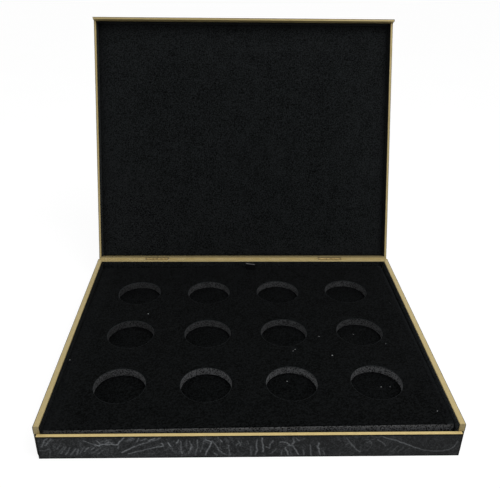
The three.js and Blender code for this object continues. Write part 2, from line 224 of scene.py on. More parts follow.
def round_edges(piece, width, segments=2, sharper_than=50):
    apply_modifier(
        piece, "BEVEL", width=width, segments=segments, limit_method="ANGLE",
        angle_limit=math.radians(sharper_than), use_clamp_overlap=True,
    )


def shade(piece, angle=40):
    select_only(piece)
    bpy.ops.object.shade_smooth_by_angle(angle=math.radians(angle))


def move_points(piece, shift):
    """Moves each point of a mesh by what shift gives for its place and outward direction"""
    directions = [vertex.normal.copy() for vertex in piece.data.vertices]
    for vertex, direction in zip(piece.data.vertices, directions):
        vertex.co += shift(vertex.co, direction)
    piece.data.update()


def waver(piece, amount, spacing, sideways_only=False):
    """Lets a cut or hand-covered surface wander a little in and out"""
    def shift(place, direction):
        if sideways_only and abs(direction.z) > 0.5:
            return STILL
        return direction * amount * noise.noise(place / spacing)

    move_points(piece, shift)


def keep(piece, name, level):
    """Keeps a level for each point of a mesh, for its colour, by the point's place and outward direction"""
    levels = [level(vertex.co, vertex.normal) for vertex in piece.data.vertices]
    piece.data.attributes.new(name, "FLOAT", "POINT").data.foreach_set("value", levels)
    return levels


def nearness(gap, reach):
    """1 where there is no gap, and 0 where it is as wide as the reach or wider"""
    return min(1.0, max(0.0, 1 - gap / reach))


def put(piece, placing):
    """Moves a finished mesh to its place, with the object left at the origin"""
    piece.data.transform(placing)
    piece.data.update()


def copy_of(piece, name, placing):
    select_only(piece)
    bpy.ops.object.duplicate(linked=False)
    copied = bpy.context.object
    copied.name = copied.data.name = name
    put(copied, placing)
    return copied


def fit(piece, body, slot, material, *stands_for):
    """Gives a piece its material, and joins it to the body it rides on"""
    piece.data.materials.clear()
    piece.data.materials.append(material)
    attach(piece, body)
    if stands_for:
        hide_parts(*stands_for)


# Materials

class Value:
    """A node's output, which takes part in Python sums"""

    def __init__(self, finish, socket):
        self.finish = finish
        self.socket = socket

    def sum(self, operation, *terms):
        return self.finish.add("Math", {"operation": operation}, dict(enumerate(terms)))

    def __add__(self, other):
        return self.sum("ADD", self, other)

    def __sub__(self, other):
        return self.sum("SUBTRACT", self, other)

    def __rsub__(self, other):
        return self.sum("SUBTRACT", other, self)

    def __mul__(self, other):
        return self.sum("MULTIPLY", self, other)

    __radd__ = __add__
    __rmul__ = __mul__

    def least(self, other):
        return self.sum("MINIMUM", self, other)

    def most(self, other):
        return self.sum("MAXIMUM", self, other)

    def away_from(self, level):
        return self.sum("ABSOLUTE", self - level)

    def ramp(self, start, end):
        """0 below start, 1 above end, and smooth between"""
        return self.finish.add(
            "MapRange",
            {"interpolation_type": "SMOOTHSTEP"},
            {"Value": self, "From Min": start, "From Max": end},
        )


class Finish:
    """The nodes of a material, or of the room's light, in the making"""

    def __init__(self, owner):
        owner.use_nodes = True
        self.owner = owner
        self.tree = owner.node_tree
        self.tree.nodes.clear()

    def add(self, kind, settings=None, sockets=None, output=0):
        node = self.tree.nodes.new("ShaderNode" + kind)
        for name, value in (settings or {}).items():
            setattr(node, name, value)
        for key, value in (sockets or {}).items():
            if isinstance(value, Value):
                self.tree.links.new(value.socket, node.inputs[key])
            else:
                node.inputs[key].default_value = value
        return Value(self, node.outputs[output]) if node.outputs else None

    def place(self):
        return self.add("TexCoord", output="Object")

    def attribute(self, name):
        return self.add("Attribute", {"attribute_name": name}, output="Fac")

    def stretched(self, place, stretch):
        return self.add("Mapping", {}, {"Vector": place, "Scale": stretch})

    def noise(self, place, size, detail=2.0, roughness=0.5, distortion=0.0):
        """Cloudy noise from 0 to 1, whose lumps are about one size across"""
        return self.add("TexNoise", {}, {
            "Vector": place, "Scale": 1 / size, "Detail": detail,
            "Roughness": roughness, "Distortion": distortion,
        })

    def cells(self, place, size):
        """Distance from the nearest of many scattered points, in cell sizes"""
        return self.add("TexVoronoi", {}, {"Vector": place, "Scale": 1 / size})

    def measure(self, operation, place, other):
        return self.add("VectorMath", {"operation": operation}, {0: place, 1: other}, output="Value")

    def along(self, place, direction):
        """How far a place lies along a direction"""
        return self.measure("DOT_PRODUCT", place, direction)

    def gap(self, place, spot):
        """How far a place lies from a spot"""
        return self.measure("DISTANCE", place, spot)

    def mix(self, factor, first, second):
        """A colour between two colours"""
        return self.add(
            "Mix", {"data_type": "RGBA"}, {0: factor, 6: rgba(first), 7: rgba(second)}, output=2,
        )

    def bump(self, height, depth, strength=1.0):
        return self.add("Bump", {}, {"Height": height, "Distance": depth, "Strength": strength})

    def surface(self, **sockets):
        shader = self.add("BsdfPrincipled", {}, {
            name.replace("_", " "): rgba(value) for name, value in sockets.items()
        })
        return self.close(shader)

    def close(self, shader, kind="OutputMaterial"):
        self.add(kind, {}, {"Surface": shader})
        return self.owner


def new_finish(name):
    return Finish(bpy.data.materials.new(name))


def rgba(colour):
    """A colour with its alpha, and anything else as it is"""
    if isinstance(colour, Value) or not hasattr(colour, "__len__") or len(colour) != 3:
        return colour
    return (*colour, 1.0)


def shaded(colour, share):
    return tuple(channel * share for channel in colour)


def gold_paint(name, colour, shade_short_of=None):
    """Satin gold paint over board: mottled, a little duller where it was worn

    The last argument is a direction, a level along it and a share. Short of that level the gold takes
    painted shade, down to that share of its colour.
    """
    finish = new_finish(name)
    place = finish.place()
    mottle = finish.noise(place, 6 * MM, detail=4, roughness=0.6)
    grain = finish.noise(finish.stretched(place, (1, 1, 3)), 0.7 * MM, detail=3, roughness=0.7)
    dull = finish.noise(place, 25 * MM, detail=2).ramp(0.45, 0.7)
    tone = (0.5 * mottle + 0.5 * grain).ramp(0.3, 0.75)
    paint = finish.mix(tone, shaded(colour, 0.9), shaded(colour, 1.06))
    if shade_short_of:
        direction, level, share = shade_short_of
        blur = 0.3 * MM
        past_shade = finish.along(place, direction).ramp(level - blur, level + blur)
        # Painted shade: the gold darkened short of the level, with its grain still showing
        brown = finish.mix(grain.ramp(0.35, 0.65), shaded(colour, 0.7 * share), shaded(colour, 1.3 * share))
        paint = finish.mix(1 - past_shade, paint, brown)
    return finish.surface(
        Base_Color=paint,
        Metallic=0.15,
        Roughness=0.4 + 0.14 * dull + 0.1 * grain,
        Normal=finish.bump(grain, 0.03 * MM),
    )


def wrap_leather(name, colour, streak, gilt):
    """Black leather-like wrap: fine pebbled grain, pale where it is creased, with painted shade where its edges
    are tucked in

    It is painted darker to the right, as shade where less light falls. Its edge at the hinge took some gold paint.
    """
    finish = new_finish(name)
    place = finish.place()
    pebbles = finish.cells(place, 0.9 * MM)
    grain = finish.noise(place, 0.8 * MM, detail=4, roughness=0.7)
    clouds = finish.noise(place, 12 * MM, detail=3)
    bloom = finish.noise(finish.stretched(place, (1, 1, 0.6)), 2.6 * MM, detail=3, distortion=0.8)
    wander = finish.noise(place, 7 * MM, detail=2, distortion=1.6)
    hairlines = 1 - (wander.away_from(0.5) * 18).least(1)
    hairlines = hairlines * finish.noise(place, 17 * MM).ramp(0.42, 0.62)
    flecks = finish.noise(place, 1.3 * MM, detail=3, roughness=0.8).ramp(0.45, 0.75)
    creases = finish.attribute("crease")
    tucked = finish.attribute("tucked")
    # Painted shade: the wrap darker towards the right, where less light falls
    painted_light_from_left = 1 - 0.42 * finish.along(place, RIGHTWARD).ramp(-60 * MM, 170 * MM)
    pale = creases * (0.1 + 1.3 * grain + 0.9 * flecks) + 0.16 * hairlines + 0.2 * bloom.ramp(0.5, 0.85)
    pale = (pale + 0.2 * flecks).least(1) * painted_light_from_left
    tone = finish.mix((0.5 * clouds + 0.5 * grain) * painted_light_from_left, shaded(colour, 0.3), shaded(colour, 1.4))
    # Painted shade where the wrap's edges are tucked in: at its foot, under the rims and at the front's right end
    leather = finish.mix(tucked, finish.mix(pale, tone, streak), shaded(colour, 0.08))
    height = 0.5 * pebbles + 0.35 * grain + 0.8 * creases + 0.35 * hairlines
    return finish.surface(
        Base_Color=finish.mix(finish.attribute("gilt"), leather, gilt),
        Roughness=0.6 - 0.12 * clouds + 0.1 * grain + 0.3 * tucked,
        Specular_IOR_Level=0.1,
        Normal=finish.bump(height, 0.12 * MM, 0.6),
    )


LINT_COLOUR = (0.45, 0.46, 0.47)


def lint_specks(finish, place, lint):
    """1 on small round specks, each given by its place and its size in millimetres"""
    specks = 0
    for spot, size in lint:
        speck = 1 - finish.gap(place, spot).ramp(0.5 * size * MM, 1.4 * size * MM)
        specks = speck.most(specks)
    return specks


def velvet(name, colour, sheen=0.02, tuft=1.3 * MM, lint=()):
    """Short pile velvet, brushed unevenly, paler at its cut edges and where painted sheen is kept, with specks of
    lint
    """
    finish = new_finish(name)
    place = finish.place()
    pile = finish.noise(place, 0.6 * MM, detail=3, roughness=0.85)
    tufts = finish.noise(place, tuft, detail=2, roughness=0.9)
    brushed = finish.noise(place, 16 * MM, detail=3)
    tone = (0.22 * pile + 0.7 * tufts + 0.08 * brushed).ramp(0.41, 0.59)
    cloth = finish.mix(tone, shaded(colour, 0.1), shaded(colour, 2.3))
    # The kept level paints the cut edges pale, and lays painted sheen towards the edges of the lid's and the pad's
    # velvet
    cloth = finish.mix(finish.attribute("worn"), cloth, shaded(colour, 9))
    if lint:
        cloth = finish.mix(lint_specks(finish, place, lint), cloth, LINT_COLOUR)
    return finish.surface(
        Base_Color=cloth,
        Roughness=0.92 + 0.08 * pile,
        Specular_IOR_Level=0.03,
        Sheen_Weight=sheen,
        Sheen_Roughness=0.45,
        Normal=finish.bump(pile, 0.25 * MM, 0.7),
    )


def cut_foam(name, colour):
    """Open-cell foam as a knife leaves it: dark pores in a pale net, with painted shade to the back and left"""
    finish = new_finish(name)
    place = finish.place()
    pores = finish.cells(place, 1.5 * MM).ramp(0.1, 0.6)
    fine = finish.noise(place, 1.4 * MM, detail=3, roughness=0.8)
    smudge = finish.noise(place, 9 * MM, detail=2)
    tone = (0.5 * pores + 0.9 * fine + 0.25 * smudge - 0.35).ramp(0.3, 0.85)
    # Painted shade: the foam darkened towards the back rows and the left, where less light falls
    painted_shade_factor = 1 - 0.55 * finish.along(place, BACKWARD).ramp(-80 * MM, -5 * MM)
    painted_shade_factor = painted_shade_factor * (0.5 + 0.5 * finish.along(place, RIGHTWARD).ramp(-175 * MM, -10 * MM))
    return finish.surface(
        Base_Color=finish.mix(tone * painted_shade_factor, shaded(colour, 0.15), shaded(colour, 3.2)),
        Roughness=0.9 + 0.1 * fine,
        Specular_IOR_Level=0.1,
        Normal=finish.bump(pores + fine, 0.35 * MM, 0.8),
    )


def satin(name, colour, painted_light):
    """Satin ribbon: fine ribs along its length, with a painted highlight where it is bent over"""
    finish = new_finish(name)
    place = finish.place()
    ribs = finish.add("TexWave", {"wave_type": "BANDS", "bands_direction": "X"}, {
        "Vector": place, "Scale": 520.0, "Distortion": 0.4, "Detail": 1.0,
    })
    slubs = finish.noise(finish.stretched(place, (1, 6, 6)), 0.8 * MM, detail=2)
    tone = 0.6 * ribs + 0.4 * slubs
    # Painted highlight on the loop's crest
    bend = finish.attribute("bend")
    thread = finish.mix(tone, shaded(colour, 0.7), shaded(colour, 1.4))
    return finish.surface(
        Base_Color=finish.mix(bend * (0.7 + 0.3 * ribs), thread, painted_light),
        Roughness=0.6 + 0.15 * slubs,
        Specular_IOR_Level=0.02,
        Normal=finish.bump(tone, 0.05 * MM, 0.6),
    )


def card(name, colour):
    """Matt black paper over board, with its fibres just showing"""
    finish = new_finish(name)
    place = finish.place()
    fibres = finish.noise(finish.stretched(place, (1, 2.5, 1)), 0.6 * MM, detail=4, roughness=0.7)
    worn = finish.noise(place, 22 * MM, detail=3).ramp(0.5, 0.8)
    return finish.surface(
        Base_Color=finish.mix(0.6 * fibres + 0.4 * worn, shaded(colour, 0.7), shaded(colour, 1.5)),
        Roughness=0.75 + 0.2 * fibres,
        Specular_IOR_Level=0.2,
        Normal=finish.bump(fibres, 0.06 * MM, 0.7),
    )


def fibreboard(name, colour):
    """Bare pressed board: short pale and dark fibres"""
    finish = new_finish(name)
    place = finish.place()
    fibres = finish.noise(finish.stretched(place, (0.35, 1, 1)), 0.5 * MM, detail=5, roughness=0.75)
    patches = finish.noise(place, 12 * MM, detail=3)
    tone = (0.7 * fibres + 0.3 * patches).ramp(0.3, 0.7)
    return finish.surface(
        Base_Color=finish.mix(tone, shaded(colour, 0.6), shaded(colour, 1.25)),
        Roughness=0.8 + 0.15 * fibres,
        Specular_IOR_Level=0.2,
        Normal=finish.bump(fibres, 0.1 * MM, 0.8),
    )


def brass(name, colour):
    """Lacquered brass, gone dull: fine rolling lines, brown in patches"""
    finish = new_finish(name)
    place = finish.place()
    lines = finish.noise(finish.stretched(place, (0.06, 1, 1)), 0.12 * MM, detail=2)
    tarnish = finish.noise(place, 4 * MM, detail=4, roughness=0.65).ramp(0.4, 0.7)
    return finish.surface(
        Base_Color=finish.mix(tarnish, colour, shaded(colour, 0.5)),
        Metallic=0.8,
        Roughness=0.5 + 0.1 * lines + 0.15 * tarnish,
        Normal=finish.bump(lines, 0.01 * MM, 0.5),
    )


# Settings

def colour_of(name, description, default):
    return FloatVectorProperty(
        name=name, description=description, default=default, subtype="COLOR", size=3, min=0, max=1,
    )


def length_of(name, description, default):
    return FloatProperty(
        name=name, description=description, default=default, subtype="DISTANCE", unit="LENGTH", min=0,
    )


class BoardSettings(bpy.types.PropertyGroup):
    gold: colour_of("Gold paint", "Colour of the tray's painted edges", (0.53, 0.42, 0.188))
    # The lid's gold is the tray's gold with painted shade, as the lid's edges face forward, away from the light
    # overhead
    shaded_lid_gold: colour_of("Lid's gold", "Colour of the lid's painted edges", (0.46, 0.36, 0.155))
    front_gold: colour_of("Front edge", "Colour of the gold on the low front wall", (0.75, 0.575, 0.245))
    bare: colour_of("Bare board", "Colour of the unpainted fibreboard", (0.32, 0.22, 0.12))
    card: colour_of("Card", "Colour of the black card", (0.012, 0.012, 0.013))
    brass: colour_of("Brass", "Colour of the hinges and screws", (0.38, 0.28, 0.12))


class CoverSettings(bpy.types.PropertyGroup):
    colour: colour_of("Wrap", "Colour of the leather-like wrap", (0.0085, 0.0097, 0.0104))
    streak: colour_of("Creased wrap", "Colour of the wrap where it is creased", (0.25, 0.262, 0.275))
    thickness: length_of("Thickness", "Thickness of the wrap and its glue", 0.58 * MM)
    crease_depth: length_of("Crease depth", "How deep the creases are pressed in", 0.12 * MM)
    # This height also sets how far the painted shade reaches in from the wrap's edges
    tuck: length_of("Tuck", "Height over which the wrap's edges are tucked in", 1.2 * MM)
    corner: length_of("Corner radius", "Radius at which the wrap bends round the boards", 0.5 * MM)


class VelvetSettings(bpy.types.PropertyGroup):
    colour: colour_of("Velvet", "Colour of the pile", (0.0036, 0.004, 0.0042))
    edge: length_of("Edge radius", "Radius at which the velvet turns over a card's edge", 0.35 * MM)
    crown: length_of("Crown", "How far the lid's velvet stands out in its middle", 0.5 * MM)


class PadSettings(bpy.types.PropertyGroup):
    foam: colour_of("Foam", "Colour of the cut foam", (0.05, 0.051, 0.053))
    wander: length_of("Knife wander", "How far the cut wells stray from a true circle", 0.3 * MM)
    sides: IntProperty(name="Well sides", description="Points round each well", default=96, min=24, max=128)
    corner: length_of("Corner radius", "Radius of the pad's upright corners", 1.5 * MM)


class RibbonSettings(bpy.types.PropertyGroup):
    # Darker than the velvet, partly as painted shade where the loop lies in its own shadow
    colour: colour_of("Ribbon", "Colour of the satin", (0.0015, 0.0016, 0.0018))
    # The colour of the painted highlight on the loop's crest
    painted_light: colour_of("Bend", "Colour of the satin where it is bent over", (0.12, 0.12, 0.12))
    width: length_of("Width", "Width of the ribbon", 11 * MM)
    thickness: length_of("Thickness", "Thickness of the ribbon", 0.45 * MM)
    reach: length_of("Reach", "How far the ribbon lies forward over the pad's edge", 6.4 * MM)
    rise: length_of("Rise", "Height of the ribbon's loop", 4.5 * MM)


class ScrewSettings(bpy.types.PropertyGroup):
    head: length_of("Head radius", "Radius of a screw's head", 1.85 * MM)
    shank: length_of("Shank radius", "Radius of a screw's shank", 1.0 * MM)
    proud: length_of("Head height", "How far a head stands out of the leaf", 0.12 * MM)
    slot: length_of("Slot width", "Width and depth of the slot across a head", 0.42 * MM)


class StageSettings(bpy.types.PropertyGroup):
    lens: FloatProperty(name="Lens", description="Focal length", default=43.58, unit="CAMERA")
    sky: FloatProperty(name="Room light", description="Strength of the light from all round", default=0.45)
    key: FloatProperty(name="Key light", description="Power of the lamp overhead", default=4.6, unit="POWER")
    fill: FloatProperty(name="Fill light", description="Power of the low lamp", default=1.7, unit="POWER")


class CaseSettings(bpy.types.PropertyGroup):
    boards: PointerProperty(type=BoardSettings, name="Boards", description="Painted and bare boards")
    cover: PointerProperty(type=CoverSettings, name="Cover", description="Leather-like wrap")
    velvet: PointerProperty(type=VelvetSettings, name="Velvet", description="Linings and sheets")
    pad: PointerProperty(type=PadSettings, name="Pad", description="Foam pad with its wells")
    ribbon: PointerProperty(type=RibbonSettings, name="Ribbon", description="Pull ribbon")
    screws: PointerProperty(type=ScrewSettings, name="Screws", description="Screws in the hinges")
    stage: PointerProperty(type=StageSettings, name="Stage", description="Camera, floor and light")


# Boards and metal of the frame

BOARD_NODES = {
    "gold": ("tray_back_wall", "tray_left_wall"),
    "lit_right_gold": ("tray_right_wall",),
    "shaded_lid_gold": ("lid_left_wall", "lid_right_wall"),
    "shaded_lip_gold": ("lid_front_lip",),
    "lit_and_shaded_hinge_gold": ("lid_back_wall",),
    "front_gold": ("tray_front_wall",),
    "bare": ("tray_floor_board", "lid_panel"),
    "card": (
        "tray_base_sheet", "lid_liner_board", "pad_board",
        "rest_strip_front", "rest_strip_back", "rest_strip_left", "rest_strip_right",
    ),
    "brass": (
        "left_hinge_tray_leaf", "left_hinge_lid_leaf", "left_hinge_pin",
        "right_hinge_tray_leaf", "right_hinge_lid_leaf", "right_hinge_pin",
    ),
}


# Painted light and shade on some boards, against the others of their colour: the right wall's gold is
# painted lighter as if lit more, the lip's darker as painted shade, and the lid's back rim lighter
# against the shade in the gap at the hinge
RIGHT_WALL_LIGHT, LIP_SHADE, LID_BACK_LIGHT = 1.1, 0.9, 1.3

# How bright the painted shade is against the lit gold: on the ends of the tray's side walls, and on the lid's rim
# at the hinges
WALL_END_SHADE, LID_RIM_SHADE = 0.58, 0.36


class COINCASE_OT_paint_boards(bpy.types.Operator):
    """Gives the boards, cards and hinges of the frame their finishes"""

    bl_idname = "coincase.paint_boards"
    bl_label = "Paint the boards"

    def execute(self, context):
        colours = context.scene.coin_case.boards
        lit_right_gold = shaded(colours.gold, RIGHT_WALL_LIGHT)
        shaded_lip_gold = shaded(colours.shaded_lid_gold, LIP_SHADE)
        lit_and_shaded_hinge_gold = shaded(colours.shaded_lid_gold, LID_BACK_LIGHT)
        finishes = {
            "gold": gold_paint("gold_paint", colours.gold, self.wall_end()),
            "lit_right_gold": gold_paint("right_gold_paint", lit_right_gold, self.wall_end()),
            "shaded_lid_gold": gold_paint("lid_gold_paint", colours.shaded_lid_gold),
            "shaded_lip_gold": gold_paint("lip_gold_paint", shaded_lip_gold),
            "lit_and_shaded_hinge_gold": gold_paint("hinge_gold_paint", lit_and_shaded_hinge_gold, self.lid_rim()),
            "front_gold": gold_paint("front_gold_paint", colours.front_gold),
            "bare": fibreboard("bare_fibreboard", colours.bare),
            "card": card("black_card", colours.card),
            "brass": brass("plated_brass", colours.brass),
        }
        for finish, nodes in BOARD_NODES.items():
            for node in nodes:
                for material_slot in frame["nodes"][node].material_slots:
                    material_slot.material = finishes[finish]
        return {"FINISHED"}

    def wall_end(self):
        """Behind the ends of the tray's side walls; the ends themselves take painted shade"""
        paint_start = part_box("tray_left_wall")[0].y + 0.5 * MM
        return BACKWARD, paint_start, WALL_END_SHADE

    def lid_rim(self):
        """Past the inner edge of the lid's rim at the hinges, as it stands open; short of it the gold takes
        painted shade
        """
        low, _ = shut_box("lid_back_wall")
        direction = LID_OPEN.to_3x3() @ Vector((0, 1, -1)).normalized()
        inner_edge = direction.dot(LID_OPEN @ Vector((0, low.y, low.z)))
        return direction, inner_edge + 1.2 * MM, LID_RIM_SHADE


# Leather-like wrap

def fold_strength(place, spacing):
    """From 0 to 1: sharp creases that wander over the wrap and fade out"""
    wandered = place / spacing + 0.9 * noise.noise_vector(place / (1.7 * spacing))
    ridge = max(0.0, 1 - abs(noise.noise(wandered)) / 0.07)
    elsewhere = Vector((7.3, 1.9, 4.1))
    fade = noise.noise(place / (1.3 * spacing) + elsewhere) - 0.12
    return ridge * min(1.0, max(0.0, 3 * fade))


# Creases drawn on the tray's front: how strong each is, and the points that it runs through,
# across and up, in millimetres
FRONT_CREASES = (
    (0.6, (-169.7, 13.5), (-167.1, 20.1), (-164.3, 22.8)), (0.5, (-167.1, 14.6), (-161.2, 22.3)),
    (0.25, (-157.9, 11.2), (-153.8, 17.8)), (0.3, (-157.8, 5.6), (-152, 13.4)),
    (0.45, (-155.4, 5.6), (-150.4, 13.3)), (0.5, (-151.5, 4.4), (-147.3, 12.2)),
    (0.55, (-147.4, 4.4), (-142.6, 11)), (0.5, (-142.6, 4.3), (-140.6, 11)),
    (0.35, (-140, 5.4), (-135.9, 13.2)), (0.5, (-135.7, 7.6), (-133.3, 11.5)),
    (0.8, (-133.8, 10.4), (-132, 12)), (0.9, (-129.7, 10.3), (-127.9, 12)),
    (0.45, (-136, 19.8), (-131.4, 17.6), (-127.6, 15.3), (-126.2, 13.1)),
    (1, (-126.8, 15.3), (-123.7, 14.2), (-120.3, 15.8), (-117.1, 15.2), (-113.8, 16.3), (-110.7, 15.1)),
    (1, (-110.7, 15.1), (-108.3, 15.1), (-106.4, 18.4), (-104.6, 20.6), (-102.8, 22.8)),
    (0.7, (-124.7, 19.7), (-123.4, 17.5), (-122, 14.7)),
    (0.6, (-118.6, 16.3), (-115.2, 18.5), (-112.1, 17.4)),
    (0.35, (-121.6, 18.6), (-118.3, 19.6), (-113.4, 20.7)), (0.5, (-108.6, 11.8), (-107.6, 14)),
    (0.35, (-130.3, 5.3), (-126.7, 8.6), (-122.3, 11.9)), (0.25, (-126.3, 4.1), (-119.2, 10.8)),
    (1, (-105.4, 6.2), (-102.4, 8.4), (-98.9, 10.6), (-94.7, 13.3)),
    (0.5, (-94.7, 13.3), (-89.7, 15.5), (-84.7, 17.1), (-81.4, 19.3)),
    (0.6, (-100.2, 5), (-93.5, 7.1), (-86.8, 9.3), (-80.2, 11.5)),
    (0.75, (-80.2, 11.5), (-75.3, 12.5), (-71.2, 13.6), (-72.6, 16.4)), (0.6, (-92.7, 18.3), (-90.8, 22.1)),
    (0.4, (-89.4, 19.3), (-85.2, 21.5)), (0.85, (-83, 19.3), (-80.5, 20.3), (-78, 22)),
    (0.6, (-79.8, 19.2), (-76.5, 20.3), (-73.1, 22.5)), (1, (-67.4, 16.9), (-65.5, 13)),
    (0.9, (-60.5, 16.8), (-58.7, 20.1)), (0.5, (-57.2, 19), (-57.1, 10.1), (-56.1, 4.5)),
    (0.45, (-49.9, 18.9), (-48.5, 12.3), (-50.2, 7.8), (-51.2, 4.4)),
    (0.45, (-43.4, 20), (-43.6, 11.1), (-45.5, 3.2)), (0.3, (-38.5, 22.1), (-38.6, 15.5), (-41.3, 6.6)),
    (0.9, (-36.1, 19.9), (-32.1, 17.6), (-33, 13.2), (-35.5, 8.8), (-37.2, 3.1)),
    (0.3, (-52.3, 20.1), (-52.5, 13.4)), (0.5, (-31.3, 18.7), (-28.1, 13.2), (-26.5, 8.7)),
    (0.7, (-24.8, 19.8), (-23.2, 17.6)), (0.5, (-29.8, 5.3), (-27.4, 3)),
    (0.55, (-26.5, 8.7), (-23.3, 5.3), (-20, 2.9)), (0.4, (-18.3, 13.1), (-17.5, 8.6), (-16.7, 2.9)),
    (0.5, (-11.8, 14.1), (-9.4, 16.3), (-10.2, 18.5)), (0.4, (-8.5, 13), (-8.6, 16.3)),
    (0.4, (-2.9, 18.5), (-2, 15.1)), (0.35, (-0.4, 11.8), (0.6, 2.7)),
    (0.75, (5.2, 19.5), (4.5, 12.8), (5.4, 8.3), (3.9, 2.7)),
    (0.85, (9.2, 21.6), (8.9, 17.2), (10.3, 12.8), (10.4, 6)),
    (0.6, (12.7, 11.6), (15.2, 10.5), (15.9, 14.9), (18.2, 18.2)), (0.4, (16.3, 3.7), (19.5, 7), (21, 9.3)),
    (1, (24, 16.5), (26.4, 17)), (0.7, (26.4, 17), (29.8, 15.9), (33.2, 12.5), (35.4, 17), (34.4, 20.3)),
    (0.8, (30.7, 12.5), (34.8, 12.5), (37.6, 6.9), (40.3, 2.3)),
    (0.75, (28.4, 10.3), (30.2, 5.8), (31.2, 2.4)), (0.5, (26, 8.1), (25.4, 2.4)),
    (0.5, (36.8, 21.4), (39.4, 18)), (0.5, (43, 20.2), (44.2, 20.2)), (0.5, (43.3, 7.9), (44.4, 2.2)),
    (0.6, (48.7, 13.5), (49.5, 7.9), (50.2, 2.2)),
    (0.95, (55.9, 15.6), (55.4, 11.2), (56.5, 7.8), (57.7, 2.1)), (0.6, (54.1, 12.3), (55.5, 10)),
    (0.4, (59.9, 6.6), (61.9, 2)), (0.55, (78.4, 20.9), (80.4, 17.6), (83.2, 13.1), (87, 8.6), (90.6, 5.1)),
    (0.4, (78.3, 13.2), (80.6, 15.4)), (0.5, (95.4, 15.2), (97.6, 17.4)),
    (0.4, (99.1, 18.5), (101.5, 19.6)), (0.6, (104, 18.5), (107.6, 16.2), (111.4, 11.7)),
    (0.9, (108.6, 21.2), (113.8, 19.5), (118.9, 17.8), (124.1, 15.5), (129.4, 13.2), (134.8, 10.3),
     (140.1, 8)),
    (0.6, (140.1, 8), (146.2, 6.2), (152.1, 5.6), (158.8, 5.5), (165.2, 7.2), (168.7, 11.1), (170.3, 16.1)),
    (0.3, (112.1, 6), (116.5, 10.5)), (0.35, (117.2, 4.9), (121.4, 11.6)),
    (0.3, (122.2, 4.8), (126.5, 10.4)), (0.25, (127.2, 4.7), (131.6, 9.2)),
)


# Widths on the front, in millimetres: a column that creases are listed by, how far into its neighbours
# it looks for them, and how far a crease shows to either side
COLUMN, COLUMN_MARGIN, LINE_REACH = 10, 2, 0.85


def line_segments(creases):
    """The creases' straight pieces, listed by columns of the front that they come near"""
    columns = {}
    for strength, *points in creases:
        for start, end in zip(points, points[1:]):
            left, right = sorted((start[0], end[0]))
            first = math.floor((left - COLUMN_MARGIN) / COLUMN)
            last = math.floor((right + COLUMN_MARGIN) / COLUMN)
            for column in range(first, last + 1):
                columns.setdefault(column, []).append((strength, Vector(start), Vector(end)))
    return columns


def pressed_line(columns, place):
    """How strongly the nearest drawn crease shows at a place on the front, from 0 to 1"""
    spot = Vector((place.x, place.z)) / MM
    spot += 0.5 * noise.noise_vector(place / (3 * MM)).xz
    strongest = 0.0
    for strength, start, end in columns.get(math.floor(spot.x / COLUMN), ()):
        _, share = geometry.intersect_point_line(spot, start, end)
        gap = (spot - start.lerp(end, min(1.0, max(0.0, share)))).length
        strongest = max(strongest, strength * (1 - gap / LINE_REACH))
    return strongest


def crinkle(piece, cover, edge_gap, spacing, strength, drawn=()):
    """Presses creases into the wrap and tucks its edges in

    edge_gap gives the distance from a place to the wrap's nearest edge. For the wrap's colour, the mesh
    keeps the creases, the tucked edges, which take painted shade, and the edge at the hinge that took
    some gold paint.
    """
    columns = line_segments(drawn)

    def crease(place, direction):
        fold = strength * fold_strength(place, spacing)
        if drawn and direction.y < -0.9:
            return max(0.5 * fold, pressed_line(columns, place))
        return fold

    # How far in an edge is tucked, which also sets its painted shade
    def tuck(place, direction):
        return max(0.0, 1 - edge_gap(place) / cover.tuck)

    def gilding(place, direction):
        return float(direction.y > 0.5 and abs(place.z - HINGE_PLACE.z) < 0.1 * MM)

    # In the order of the mesh's points, which is how press meets them too
    levels = iter(zip(keep(piece, "crease", crease), keep(piece, "tucked", tuck)))
    keep(piece, "gilt", gilding)
    tuck_depth = 0.2 * MM

    def press(place, direction):
        creased, tucked = next(levels)
        turned_in = 0 if direction.y > 0.5 else tuck_depth * tucked ** 2
        swell = 0.5 * cover.crease_depth * noise.noise(place / (11 * MM))
        return direction * (swell - (creased * cover.crease_depth + turned_in))

    move_points(piece, press)


def finish_wrap(piece, cover):
    """Gives the wrap its thickness, inwards"""
    apply_modifier(piece, "SOLIDIFY", thickness=cover.thickness, offset=-1)
    shade(piece)


# Room in the wrap's windows round a leaf, the barrel and the pin's heads, and from the wraps' edges to
# the hinge's axis
WINDOW_GAP = 0.3 * MM
BARREL_REACH = 1.8 * MM
PIN_HEAD_ROOM = 1.4 * MM
AXIS_GAP = 0.03 * MM


def hinge_windows(leaf_boxes, high_side):
    """Openings in the wrap at the back, for each leaf and the barrel on it"""
    axis = HINGE_PLACE.z
    barrel = (axis - BARREL_REACH, axis + BARREL_REACH)
    windows = []
    for low, high in leaf_boxes:
        far = high.z + WINDOW_GAP if high_side else low.z - WINDOW_GAP
        windows.append((low.x - WINDOW_GAP, high.x + WINDOW_GAP, *sorted((axis, far))))
        windows.append((low.x - PIN_HEAD_ROOM, high.x + PIN_HEAD_ROOM, *barrel))
    return windows


def open_windows(piece, windows, back):
    """In edit mode, cuts the windows out of the wrap's back"""
    for left, right, bottom, top in windows:
        slice_at(X, (left, right))
        slice_at(Z, (bottom, top))
    for left, right, bottom, top in windows:
        pick_faces(piece, lambda middle, direction: (
            middle.y > back - MM and left < middle.x < right and bottom < middle.z < top
        ))
        bpy.ops.mesh.delete(type="FACE")


def meet_at_hinge(piece, back, edge, gap):
    """Carries the wrap's edge at the back up or down to the hinge's axis, less a gap"""
    rise = Vector((0, 0, HINGE_PLACE.z + gap - edge))

    def carry(place, direction):
        on_edge = place.y > back - HAIR and abs(place.z - edge) < HAIR
        return rise if on_edge else STILL

    move_points(piece, carry)


# How finely the wraps are divided, across and up, so that the creases show in their shape
FRONT_CELL, FRONT_ROW = 0.52 * MM, 0.6 * MM
WRAP_CELL, WRAP_ROW = 2.2 * MM, 1.1 * MM


